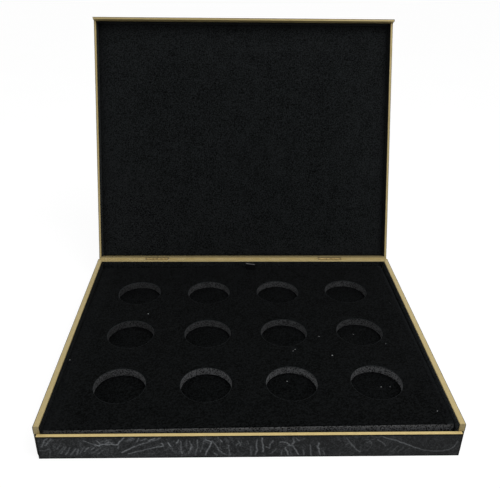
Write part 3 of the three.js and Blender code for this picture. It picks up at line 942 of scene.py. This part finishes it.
class COINCASE_OT_cover_tray(bpy.types.Operator):
    """Wraps the outside of the tray, low at the front, with windows for the hinges"""

    bl_idname = "coincase.cover_tray"
    bl_label = "Cover the tray"

    def execute(self, context):
        case = context.scene.coin_case
        cover = case.cover
        low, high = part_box("tray_wrap")
        step_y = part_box("tray_left_wall")[0].y + 0.3 * MM
        step_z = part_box("tray_front_wall")[1].z - 0.3 * MM
        skin = high.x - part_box("tray_right_wall")[1].x
        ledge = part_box("tray_left_wall")[0].y - skin
        front_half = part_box("tray_front_wall")[1].x + skin
        leaves = [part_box(f"{side}_hinge_tray_leaf") for side in ("left", "right")]
        piece = add_block("tray_cover", low, high)
        with editing(piece):
            pick_faces(piece, lambda middle, direction: abs(direction.z) > 0.9)
            bpy.ops.mesh.delete(type="FACE")
            slice_at(Y, (ledge - 0.05 * MM, ledge, step_y))
            slice_at(Z, (step_z,))
            pick_faces(piece, lambda middle, direction: middle.y < step_y and middle.z > step_z)
            bpy.ops.mesh.delete(type="FACE")
            open_windows(piece, hinge_windows(leaves, False), high.y)
        for vertex in piece.data.vertices:
            if vertex.co.y < ledge - 0.02 * MM:
                vertex.co.x = math.copysign(min(front_half, abs(vertex.co.x)), vertex.co.x)
        with editing(piece):
            divide(piece, X, FRONT_CELL, lambda middle: middle.y < 0)
            divide(piece, X, WRAP_CELL, lambda middle: middle.y > 0)
            divide(piece, Y, 2 * MM)
            divide(piece, Z, FRONT_ROW)
        meet_at_hinge(piece, high.y, high.z, -AXIS_GAP)
        round_edges(piece, cover.corner, 3)
        # Band along the foot that takes the full painted shade
        painted_shade_foot = 0.9 * MM

        def edge_gap(place):
            """The foot and the front's upright ends count as edges too, with their tuck and painted shade fading
            faster
            """
            top = step_z if place.y < step_y else high.z
            gaps = [1.4 * max(0, place.z - painted_shade_foot), top - place.z]
            if place.y < ledge:
                from_end = front_half - abs(place.x) - painted_shade_foot
                gaps.append(1.4 * max(0, from_end, place.y - low.y - 0.5 * MM))
            return min(gaps)

        crinkle(piece, cover, edge_gap, spacing=12 * MM, strength=0.6, drawn=FRONT_CREASES)
        finish_wrap(piece, cover)
        leather = wrap_leather("tray_leather", cover.colour, cover.streak, case.boards.gold)
        fit(piece, "tray", "black_wrap", leather, "tray_wrap")
        return {"FINISHED"}


class COINCASE_OT_cover_lid(bpy.types.Operator):
    """Wraps the outside of the lid, down over its deep lip, with windows for the hinges"""

    bl_idname = "coincase.cover_lid"
    bl_label = "Cover the lid"

    def execute(self, context):
        case = context.scene.coin_case
        cover = case.cover
        low, high = shut_box("lid_wrap")
        step_y = shut_box("lid_left_wall")[0].y - 0.4 * MM
        step_z = shut_box("lid_left_wall")[0].z + 0.3 * MM
        leaves = [shut_box(f"{side}_hinge_lid_leaf") for side in ("left", "right")]
        piece = add_block("lid_cover", low, high)
        with editing(piece):
            pick_faces(piece, lambda middle, direction: direction.z < -0.9)
            bpy.ops.mesh.delete(type="FACE")
            slice_at(Y, (step_y,))
            slice_at(Z, (step_z,))
            pick_faces(piece, lambda middle, direction: middle.y > step_y and middle.z < step_z)
            bpy.ops.mesh.delete(type="FACE")
            open_windows(piece, hinge_windows(leaves, True), high.y)
            divide(piece, X, WRAP_CELL)
            divide(piece, Y, WRAP_CELL)
            divide(piece, Z, WRAP_ROW)
        meet_at_hinge(piece, high.y, step_z, AXIS_GAP)
        round_edges(piece, cover.corner, 3)

        # Distance to the lid wrap's lower edge, where it is tucked in and takes painted shade
        def edge_gap(place):
            return place.z - (low.z if place.y < step_y else step_z)

        crinkle(piece, cover, edge_gap, spacing=17 * MM, strength=0.4)
        finish_wrap(piece, cover)
        put(piece, LID_OPEN)
        leather = wrap_leather("lid_leather", cover.colour, cover.streak, case.boards.shaded_lid_gold)
        fit(piece, "lid", "black_wrap", leather, "lid_wrap")
        return {"FINISHED"}


# Velvet linings

def lining_card(name, low, high, edge):
    """A thin card with velvet turned over its edges"""
    piece = add_block(name, low, high)
    cell = 3 * MM
    with editing(piece):
        for axis in (X, Y, Z):
            if (high - low)[axis] > cell:
                divide(piece, axis, cell)
    round_edges(piece, edge, 3)
    waver(piece, amount=0.07 * MM, spacing=9 * MM)
    shade(piece, 60)
    return piece


def velvet_sheet(name, low, high, cell=4 * MM):
    """A flat sheet of velvet with soft edges, not quite even"""
    piece = add_block(name, low, high)
    with editing(piece):
        divide(piece, X, cell)
        divide(piece, Y, cell)
    finish_sheet(piece)
    return piece


def finish_sheet(piece):
    round_edges(piece, 0.15 * MM)
    waver(piece, amount=0.08 * MM, spacing=25 * MM)
    shade(piece, 60)


def line_walls(settings, body, painted_lights, box_of, placing=Matrix.Identity(4)):
    """Velvet-covered cards on the walls of the tray or the lid, each painted paler or darker by its share, for the
    light that falls on that wall
    """
    for side, painted_light in painted_lights.items():
        node = f"{body}_lining_{side}"
        piece = lining_card(f"{body}_velvet_{side}", *box_of(node), settings.edge)
        put(piece, placing)
        pile = velvet(f"{body}_{side}_lining_velvet", shaded(settings.colour, painted_light))
        fit(piece, body, "black_velvet", pile, node)


# How pale the pile of each lining and sheet is painted, against the velvet's own colour: painted light and
# shade for the light that falls on each wall and on the lid's, the pad's and the wells' velvet
TRAY_PAINTED_LIGHTS = {"front": 1.2, "back": 2.6, "left": 2.0, "right": 5.2}
LID_PAINTED_LIGHTS = {"front": 2.0, "left": 4.6, "right": 1.2}
TRAY_FLOOR_SHINE, LID_PAINTED_LIGHT, PAD_PAINTED_LIGHT, WELL_PAINTED_LIGHT = 1.2, 1.95, 0.96, 0.92


class COINCASE_OT_line_tray(bpy.types.Operator):
    """Lines the tray's walls with velvet-covered cards, and its floor with a sheet"""

    bl_idname = "coincase.line_tray"
    bl_label = "Line the tray"

    def execute(self, context):
        settings = context.scene.coin_case.velvet
        line_walls(settings, "tray", TRAY_PAINTED_LIGHTS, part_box)
        low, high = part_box("tray_floor_lining")
        floor = velvet_sheet("tray_floor_velvet", low, high)
        pile = velvet("tray_floor_pile", shaded(settings.colour, TRAY_FLOOR_SHINE))
        fit(floor, "tray", "black_velvet", pile, "tray_floor_lining")
        return {"FINISHED"}


class COINCASE_OT_line_lid(bpy.types.Operator):
    """Lines the lid's walls, and stretches velvet over its liner board"""

    bl_idname = "coincase.line_lid"
    bl_label = "Line the lid"

    def execute(self, context):
        settings = context.scene.coin_case.velvet
        line_walls(settings, "lid", LID_PAINTED_LIGHTS, shut_box, LID_OPEN)
        pile = velvet("lid_velvet", shaded(settings.colour, LID_PAINTED_LIGHT), sheen=0.035)
        low, high = shut_box("lid_liner_velvet")
        liner = velvet_sheet("lid_liner_cover", low, high, cell=2.5 * MM)
        turn_in = 5 * MM
        # Painted sheen: the lid's velvet paler towards its sides and its top as it stands open, where light
        # catches the pile
        brushed, sheen_reach = 0.035, 70 * MM

        def crown(place, direction):
            inset = min(place.x - low.x, high.x - place.x, place.y - low.y, high.y - place.y)
            return Vector((0, 0, -settings.crown * (1 - nearness(inset, turn_in) ** 2)))

        def painted_edge_sheen(place, direction):
            inset = min(place.x - low.x, high.x - place.x, place.y - low.y)
            return brushed * nearness(inset, sheen_reach)

        move_points(liner, crown)
        keep(liner, "worn", painted_edge_sheen)
        put(liner, LID_OPEN)
        fit(liner, "lid", "black_velvet", pile, "lid_liner_velvet")
        return {"FINISHED"}


# Coin pad

# Specks of lint on the pad's velvet and in its wells: across, along, and their size, in millimetres
LINT = (
    (-103.1, 31.1, 0.55), (-167.7, -45.6, 0.5), (72.6, -9.9, 0.4), (46.5, -30.8, 0.4), (44.3, -33.4, 0.35),
    (81.3, -40.3, 0.6), (159.4, -116.6, 0.4), (158.6, 51.1, 0.25), (137.3, -21.8, 0.28),
)
WELL_LINT = ((110.5, 4.2, 0.35), (35.9, -68.0, 0.45), (121.3, -76.4, 0.42), (129.6, -76.0, 0.28))


def lint_on(level, specks):
    return [(Vector((x * MM, y * MM, level)), size) for x, y, size in specks]


FOAM_HOLE_RADIUS, VELVET_HOLE_RADIUS = 23.2 * MM, 23 * MM

# How far each ring of a well's square lies outside its hole, and how far out they all stay round
RINGS = tuple(ring * MM for ring in (0.35, 0.9, 2.0, 4.0, 7.0, 10.5))
ROUND_RINGS = 3 * MM
MARGIN_STEPS = 4


def pad_sheet(name, radius, bottom, top, sides):
    """A sheet the size of the pad with a hole at every well, in the pad's own place

    One well's square is made as rings that grow from the hole's circle to the square, and is
    repeated. The margins are drawn out to the pad's edges.
    """
    pitch = ROW_RUN.length / (WELL_COLUMNS - 1)
    first = PAD_LIE @ WELLS["well_front_1"]
    first.z = top
    deselect_all()
    bpy.ops.mesh.primitive_circle_add(vertices=sides, radius=radius, location=first)
    piece = take(name)
    with editing(piece):
        bpy.ops.mesh.select_mode(type="EDGE")
        bpy.ops.mesh.select_all(action="SELECT")
        reach = radius
        for grown in (*(radius + ring for ring in RINGS), pitch / 2):
            bpy.ops.mesh.extrude_edges_move()
            bpy.ops.transform.resize(value=(grown / reach, grown / reach, 1), center_override=first)
            reach = grown
    last = pitch / 2 - HAIR
    for vertex in piece.data.vertices:
        arm = vertex.co - first
        if arm.length > last:
            vertex.co = first + arm * (pitch / 2 / max(abs(arm.x), abs(arm.y)))
        elif arm.length > radius + ROUND_RINGS:
            squared = arm * (arm.length / max(abs(arm.x), abs(arm.y)))
            share = (arm.length - radius) / (pitch / 2 - radius)
            vertex.co = first + arm.lerp(squared, share ** 2)
    for axis, count in ((X, WELL_COLUMNS), (Y, WELL_ROWS)):
        apply_modifier(
            piece, "ARRAY", count=count, use_relative_offset=False, use_constant_offset=True,
            constant_offset_displace=along_axis(axis, pitch), use_merge_vertices=True, merge_threshold=HAIR,
        )
    for axis, half in ((X, HALF_WIDTH), (Y, HALF_DEPTH)):
        for sign in (-1, 1):
            edge = sign * max(sign * vertex.co[axis] for vertex in piece.data.vertices)
            step = (sign * half - edge) / MARGIN_STEPS
            run = {"value": along_axis(axis, step)}
            with editing(piece):
                for _ in range(MARGIN_STEPS):
                    pick_edges(piece, lambda middle, length: (
                        abs(middle[axis] - edge) < HAIR and abs(length[axis]) < HAIR
                    ))
                    bpy.ops.mesh.extrude_region_move(TRANSFORM_OT_translate=run)
                    edge += step
    with editing(piece):
        bpy.ops.mesh.select_all(action="SELECT")
        bpy.ops.mesh.normals_make_consistent(inside=False)
        if bmesh.from_edit_mesh(piece.data).faces[:][0].normal.z < 0:
            bpy.ops.mesh.flip_normals()
    apply_modifier(piece, "SOLIDIFY", thickness=top - bottom, offset=-1)
    return piece


def shape_like_pad(piece, radius):
    """Rounds the corners of an even sheet, and slants its sides as the pad's are"""
    with editing(piece):
        pick_edges(piece, lambda middle, run: (
            abs(run.z) > 0.9 * run.length
            and abs(middle.x) > HALF_WIDTH - 5 * HAIR and abs(middle.y) > HALF_DEPTH - 5 * HAIR
        ))
        bpy.ops.mesh.bevel(offset=radius, segments=4, affect="EDGES")
    core = 0.86 * HALF_WIDTH

    def slant(place, direction):
        side = math.copysign(1, place.x)
        back_share = (place.y + HALF_DEPTH) / (2 * HALF_DEPTH)
        reach = (1 - back_share) * SIDE_REACH[side, -1] + back_share * SIDE_REACH[side, 1]
        share = max(0.0, abs(place.x) - core) / (HALF_WIDTH - core)
        return Vector((side * share * (reach - HALF_WIDTH), 0, 0))

    move_points(piece, slant)


class COINCASE_OT_cut_pad(bpy.types.Operator):
    """Cuts the foam block with its twelve wells"""

    bl_idname = "coincase.cut_pad"
    bl_label = "Cut the foam pad"

    def execute(self, context):
        settings = context.scene.coin_case.pad
        low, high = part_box("pad_foam")
        piece = pad_sheet("foam_block", FOAM_HOLE_RADIUS, low.z, high.z, settings.sides)
        shape_like_pad(piece, settings.corner)
        with editing(piece):
            divide(piece, Z, 1.2 * MM)
        round_edges(piece, 0.12 * MM)
        waver(piece, amount=settings.wander, spacing=7 * MM, sideways_only=True)
        waver(piece, amount=0.5 * settings.wander, spacing=1.8 * MM, sideways_only=True)
        shade(piece, 50)
        put(piece, PAD_PLACE)
        fit(piece, "coin_pad", "grey_foam", cut_foam("grey_foam", settings.foam), "pad_foam")
        return {"FINISHED"}


PAD_TUFT = 1.5 * MM

# Painted sheen on the pad's pile: on its right edge's rounding, and paler towards its left and right side
RIGHT_EDGE_SHEEN = 0.3
LEFT_SHEEN, RIGHT_SHEEN, SHEEN_REACH = 0.1, 0.05, 20 * MM


def pad_cut_edges_and_sheen(place, direction):
    """1 at the cut edges of the pad's velvet, where its backing shows, and less where painted sheen lies towards
    its sides
    """
    across = (PAD_LIE @ place).x
    from_side = HALF_WIDTH - abs(across)
    from_hole = min((place.xy - well.xy).length for well in WELLS.values()) - VELVET_HOLE_RADIUS
    on_side = from_side < 4 * MM
    if from_hole < 0.3 * MM or (on_side and direction.z < 0.9):
        return 1.0
    if across > 0 and on_side and direction.z < 0.996:
        return RIGHT_EDGE_SHEEN
    return (RIGHT_SHEEN if across > 0 else LEFT_SHEEN) * nearness(from_side, SHEEN_REACH)


class COINCASE_OT_cover_pad(bpy.types.Operator):
    """Lays velvet over the pad, with a hole at each well, and under the foam as the wells' floor"""

    bl_idname = "coincase.cover_pad"
    bl_label = "Cover the pad with velvet"

    def execute(self, context):
        case = context.scene.coin_case
        self.lay_top(case)
        self.lay_well_floor(case)
        return {"FINISHED"}

    def lay_top(self, case):
        low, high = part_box("pad_velvet")
        top = pad_sheet("pad_top_velvet", VELVET_HOLE_RADIUS, low.z, high.z, case.pad.sides)
        shape_like_pad(top, case.pad.corner)
        round_edges(top, 0.2 * MM, 3)
        waver(top, amount=0.12 * MM, spacing=20 * MM)
        waver(top, amount=0.1 * MM, spacing=5 * MM)
        shade(top, 60)
        put(top, PAD_PLACE)
        keep(top, "worn", pad_cut_edges_and_sheen)
        colour = shaded(case.velvet.colour, PAD_PAINTED_LIGHT)
        pile = velvet("pad_velvet_pile", colour, sheen=0.01, tuft=PAD_TUFT, lint=lint_on(high.z, LINT))
        fit(top, "coin_pad", "black_velvet", pile, "pad_velvet")
        width, depth = PAD_SIZE
        holes = len(WELLS) * math.pi * VELVET_HOLE_RADIUS ** 2
        width * depth - holes

    def lay_well_floor(self, case):
        low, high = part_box("pad_well_velvet")
        half = Vector((HALF_WIDTH, HALF_DEPTH, 0))
        bottom, top = Vector((0, 0, low.z)), Vector((0, 0, high.z))
        floor = add_block("well_floor_velvet", bottom - half, top + half)
        shape_like_pad(floor, case.pad.corner)
        finish_sheet(floor)
        put(floor, PAD_PLACE)
        colour = shaded(case.velvet.colour, WELL_PAINTED_LIGHT)
        pile = velvet("well_velvet_pile", colour, sheen=0, tuft=PAD_TUFT, lint=lint_on(high.z, WELL_LINT))
        fit(floor, "coin_pad", "black_velvet", pile, "pad_well_velvet")


# Pull ribbon

# The loop's points: shares of its reach forward over the pad, and of its rise
LOOP_SHARES = ((0, 0.1), (-0.03, 0.55), (0.06, 0.88), (0.24, 0.92), (0.44, 0.62), (0.72, 0.14), (1, 0))


def through(points, steps):
    """Points along one smooth curve through the given ones"""
    ends = [2 * points[0] - points[1], *points, 2 * points[-1] - points[-2]]
    line = []
    for before, start, end, after in zip(ends, ends[1:], ends[2:], ends[3:]):
        for step in range(steps):
            t = step / steps
            line.append(0.5 * (
                2 * start + t * (end - before)
                + t * t * (2 * before - 5 * start + 4 * end - after)
                + t ** 3 * (3 * start - before - 3 * end + after)
            ))
    return [*line, points[-1]]


class COINCASE_OT_loop_ribbon(bpy.types.Operator):
    """Loops the pull ribbon up over the pad's back edge and forward onto the velvet"""

    bl_idname = "coincase.loop_ribbon"
    bl_label = "Loop the ribbon"

    def execute(self, context):
        settings = context.scene.coin_case.ribbon
        low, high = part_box("pull_ribbon")
        pad_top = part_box("pad_velvet")[1].z
        air = 0.25 * MM
        stand_off = settings.thickness / 2 + air
        back = HALF_DEPTH + stand_off
        middle_x = (PAD_LIE @ middle_of(low, high)).x
        loop = through([
            Vector((
                middle_x,
                back - run * (settings.reach + stand_off),
                pad_top + stand_off + rise * settings.rise,
            ))
            for run, rise in LOOP_SHARES
        ], steps=5)
        upright = loop[0].z - low.z
        deselect_all()
        bpy.ops.mesh.primitive_plane_add(
            size=1,
            location=(middle_x, back, low.z + upright / 2),
            rotation=(math.pi / 2, 0, 0),
        )
        bpy.context.object.scale = (settings.width, upright, 1)
        piece = take("pull_ribbon_satin")
        with editing(piece):
            for start, end in zip(loop, loop[1:]):
                pick_edges(piece, lambda middle, run: (
                    (middle - start).length < HAIR and abs(run.x) > 0.9 * run.length
                ))
                bpy.ops.mesh.extrude_region_move(TRANSFORM_OT_translate={"value": end - start})
            divide(piece, X, 0.9 * MM)
            divide(piece, Z, 1.5 * MM)
            bpy.ops.mesh.select_all(action="SELECT")
            bpy.ops.mesh.normals_make_consistent(inside=False)
        half = settings.width / 2
        cup, tilt = 0.25 * MM, 0.9 * MM

        def curl(place, direction):
            across = (place.x - middle_x) / half
            lift = max(0.0, place.z - pad_top) / settings.rise
            return Vector((0, 0, cup * across ** 2 * min(1.0, 2 * lift) - tilt * across * lift))

        # The loop's crest, which takes the painted highlight
        def bend(place, direction):
            high_enough = place.z > pad_top + 0.6 * settings.rise
            return float(high_enough and place.y > back - 0.3 * settings.reach)

        move_points(piece, curl)
        keep(piece, "bend", bend)
        apply_modifier(piece, "SOLIDIFY", thickness=settings.thickness, offset=0)
        round_edges(piece, 0.12 * MM, sharper_than=60)
        shade(piece, 50)
        put(piece, PAD_PLACE)
        weave = satin("black_satin", settings.colour, settings.painted_light)
        fit(piece, "coin_pad", "black_satin", weave, "pull_ribbon")
        length = upright + sum((end - start).length for start, end in zip(loop, loop[1:]))
        return {"FINISHED"}


# Hinge screws

# Places of the hinges and of a leaf's holes along the back, in millimetres
HINGE_MIDDLES = {"left": -105, "right": 105}
HOLE_OFFSETS = {"outer": -8, "inner": 8}
HOLE_DROP = 7.25 * MM  # from the hinge's axis
LEAF_FACE = 0.45 * MM  # behind the hinge's axis


class COINCASE_OT_drive_screws(bpy.types.Operator):
    """Makes one slotted screw, and puts a copy in each hole of the hinge leaves"""

    bl_idname = "coincase.drive_screws"
    bl_label = "Drive the screws"

    def execute(self, context):
        settings = context.scene.coin_case.screws
        metal = brass("screw_brass", context.scene.coin_case.boards.brass)
        deselect_all()
        bpy.ops.mesh.primitive_cylinder_add(
            vertices=32, radius=settings.head, depth=settings.proud,
            location=(0, settings.proud / 2, 0), rotation=(math.pi / 2, 0, 0),
        )
        pattern = take("screw_pattern")
        taper = settings.shank / settings.head
        cone, stub = 0.5 * MM, 0.28 * MM
        with editing(pattern):
            pick_edges(pattern, lambda middle, run: middle.y > 0.9 * settings.proud)
            bpy.ops.mesh.bevel(offset=0.6 * settings.proud, segments=2, affect="EDGES")
            pick_faces(pattern, lambda middle, direction: direction.y < -0.9)
            bpy.ops.mesh.extrude_region_move(TRANSFORM_OT_translate={"value": (0, -cone, 0)})
            bpy.ops.transform.resize(value=(taper, 1, taper), center_override=(0, -cone, 0))
            bpy.ops.mesh.extrude_region_move(TRANSFORM_OT_translate={"value": (0, -stub, 0)})
        slot_size = Vector((2.4 * settings.head, 2 * settings.slot, settings.slot)) / 2
        slot_place = Vector((0, settings.proud, 0))
        cutter = add_block("slot_cutter", slot_place - slot_size, slot_place + slot_size)
        apply_modifier(pattern, "BOOLEAN", operation="DIFFERENCE", object=cutter, solver="EXACT")
        bpy.data.objects.remove(cutter)
        shade(pattern, 35)
        for side, x in HINGE_MIDDLES.items():
            for place, offset in HOLE_OFFSETS.items():
                hole = Vector((x + offset, 0, 0)) * MM
                for body, way, placing in (("tray", -1, Matrix.Identity(4)), ("lid", 1, LID_OPEN)):
                    uneven_turn = 0.7 * offset + 0.3 * x + way
                    turn = Matrix.Rotation(uneven_turn, 4, "Y")
                    spot = HINGE_PLACE + hole + Vector((0, LEAF_FACE, way * HOLE_DROP))
                    name = f"{side}_{place}_{body}_screw"
                    screw = copy_of(pattern, name, placing @ Matrix.Translation(spot) @ turn)
                    fit(screw, body, "brass", metal)
        bpy.data.objects.remove(pattern)
        return {"FINISHED"}


# Stage

CAMERA_PLACE = Vector((-17.8, -503.9, 388.8)) * MM
CAMERA_TURN, CAMERA_TILT, CAMERA_ROLL = (math.radians(angle) for angle in (1.47, 27.53, 0.68))
CAMERA_SHIFT = (0.0145, -0.0004)

# Each lamp's place about the case and its width, in metres
LAMPS = {"key": (Vector((0.4, -0.3, 1.0)), 0.8), "fill": (Vector((-1.0, -0.9, 0.5)), 0.8)}
LAMP_AIM = Vector((0, 0.02, 0.03))
FLOOR_SIZE = 24


class COINCASE_OT_light_stage(bpy.types.Operator):
    """Sets up the camera, the pale floor and soft studio light"""

    bl_idname = "coincase.light_stage"
    bl_label = "Light the stage"

    def execute(self, context):
        scene = context.scene
        settings = scene.coin_case.stage
        scene.camera = self.place_camera(settings)
        self.lay_floor()
        self.hang_lamps(settings)
        scene.world = self.light_room(settings)
        scene.view_settings.view_transform = "Standard"
        return {"FINISHED"}

    def place_camera(self, settings):
        forward = Vector((
            math.sin(CAMERA_TURN) * math.cos(CAMERA_TILT),
            math.cos(CAMERA_TURN) * math.cos(CAMERA_TILT),
            -math.sin(CAMERA_TILT),
        ))
        level = Vector((math.cos(CAMERA_TURN), -math.sin(CAMERA_TURN), 0))
        upward = level.cross(forward)
        right = level * math.cos(CAMERA_ROLL) + upward * math.sin(CAMERA_ROLL)
        top = upward * math.cos(CAMERA_ROLL) - level * math.sin(CAMERA_ROLL)
        deselect_all()
        bpy.ops.object.camera_add()
        camera = bpy.context.object
        camera.name = "photo_camera"
        turn = Matrix((right, top, -forward)).transposed().to_4x4()
        camera.matrix_world = Matrix.Translation(CAMERA_PLACE) @ turn
        camera.data.lens = settings.lens
        camera.data.shift_x, camera.data.shift_y = CAMERA_SHIFT
        return camera

    def lay_floor(self):
        deselect_all()
        bpy.ops.mesh.primitive_plane_add(size=FLOOR_SIZE)
        floor = take("floor")
        floor.data.materials.append(floor_finish())

    def hang_lamps(self, settings):
        for name, (place, size) in LAMPS.items():
            bpy.ops.object.light_add(type="AREA", location=place)
            lamp = bpy.context.object
            lamp.name = f"{name}_lamp"
            lamp.rotation_euler = (LAMP_AIM - place).to_track_quat("-Z", "Y").to_euler()
            lamp.data.shape = "DISK"
            lamp.data.size = size
            lamp.data.energy = getattr(settings, name)

    def light_room(self, settings):
        room = Finish(bpy.data.worlds.new("white_room"))
        seen = seen_directly(room)
        strength = seen + (1 - seen) * settings.sky
        light = room.add("Background", {}, {"Color": (1, 1, 1, 1), "Strength": strength})
        return room.close(light, "OutputWorld")


def seen_directly(finish):
    """1 on rays that show the background, 0 on those that light the case"""
    kinds = ("Camera", "Glossy", "Transmission")
    rays = [finish.add("LightPath", output=f"Is {kind} Ray") for kind in kinds]
    return (rays[0] + rays[1] + rays[2]).least(1)


# The glow that the floor is seen with, as its strength and its share against the plain floor
FLOOR_GLOW, GLOW_SHARE = 1.42, 0.62


def floor_finish():
    """Pale floor that the camera sees nearly white, with a faint shadow left under the case"""
    finish = new_finish("pale_floor")
    seen = seen_directly(finish)
    tone = finish.noise(finish.place(), 150 * MM, detail=2)
    pale = finish.mix(tone, (0.58, 0.58, 0.58), (0.62, 0.62, 0.62))
    plain = finish.add("BsdfDiffuse", {}, {"Color": pale})
    white = finish.add("Emission", {}, {"Color": (1, 1, 1, 1), "Strength": FLOOR_GLOW})
    return finish.close(finish.add("MixShader", {}, {0: seen * GLOW_SHARE, 1: plain, 2: white}))


# Add-on

OPERATORS = (
    COINCASE_OT_light_stage,
    COINCASE_OT_paint_boards,
    COINCASE_OT_cover_tray,
    COINCASE_OT_cover_lid,
    COINCASE_OT_line_tray,
    COINCASE_OT_line_lid,
    COINCASE_OT_cut_pad,
    COINCASE_OT_cover_pad,
    COINCASE_OT_loop_ribbon,
    COINCASE_OT_drive_screws,
)


class COINCASE_PT_build(bpy.types.Panel):
    """Lists the steps of the case"""

    bl_idname = "COINCASE_PT_build"
    bl_label = "Coin display case"
    bl_space_type = "VIEW_3D"
    bl_region_type = "UI"
    bl_category = "Coin case"

    def draw(self, context):
        for operator in OPERATORS:
            self.layout.operator(operator.bl_idname)


GROUPS = (
    BoardSettings, CoverSettings, VelvetSettings, PadSettings, RibbonSettings, ScrewSettings, StageSettings,
    CaseSettings,
)
CLASSES = (*GROUPS, *OPERATORS, COINCASE_PT_build)


def register():
    for kind in CLASSES:
        bpy.utils.register_class(kind)
    bpy.types.Scene.coin_case = PointerProperty(type=CaseSettings)


def unregister():
    del bpy.types.Scene.coin_case
    for kind in reversed(CLASSES):
        bpy.utils.unregister_class(kind)


def main():
    register()
    for operator in OPERATORS:
        group, step = operator.bl_idname.split(".")
        getattr(getattr(bpy.ops, group), step)()


if __name__ == "__main__":
    main()
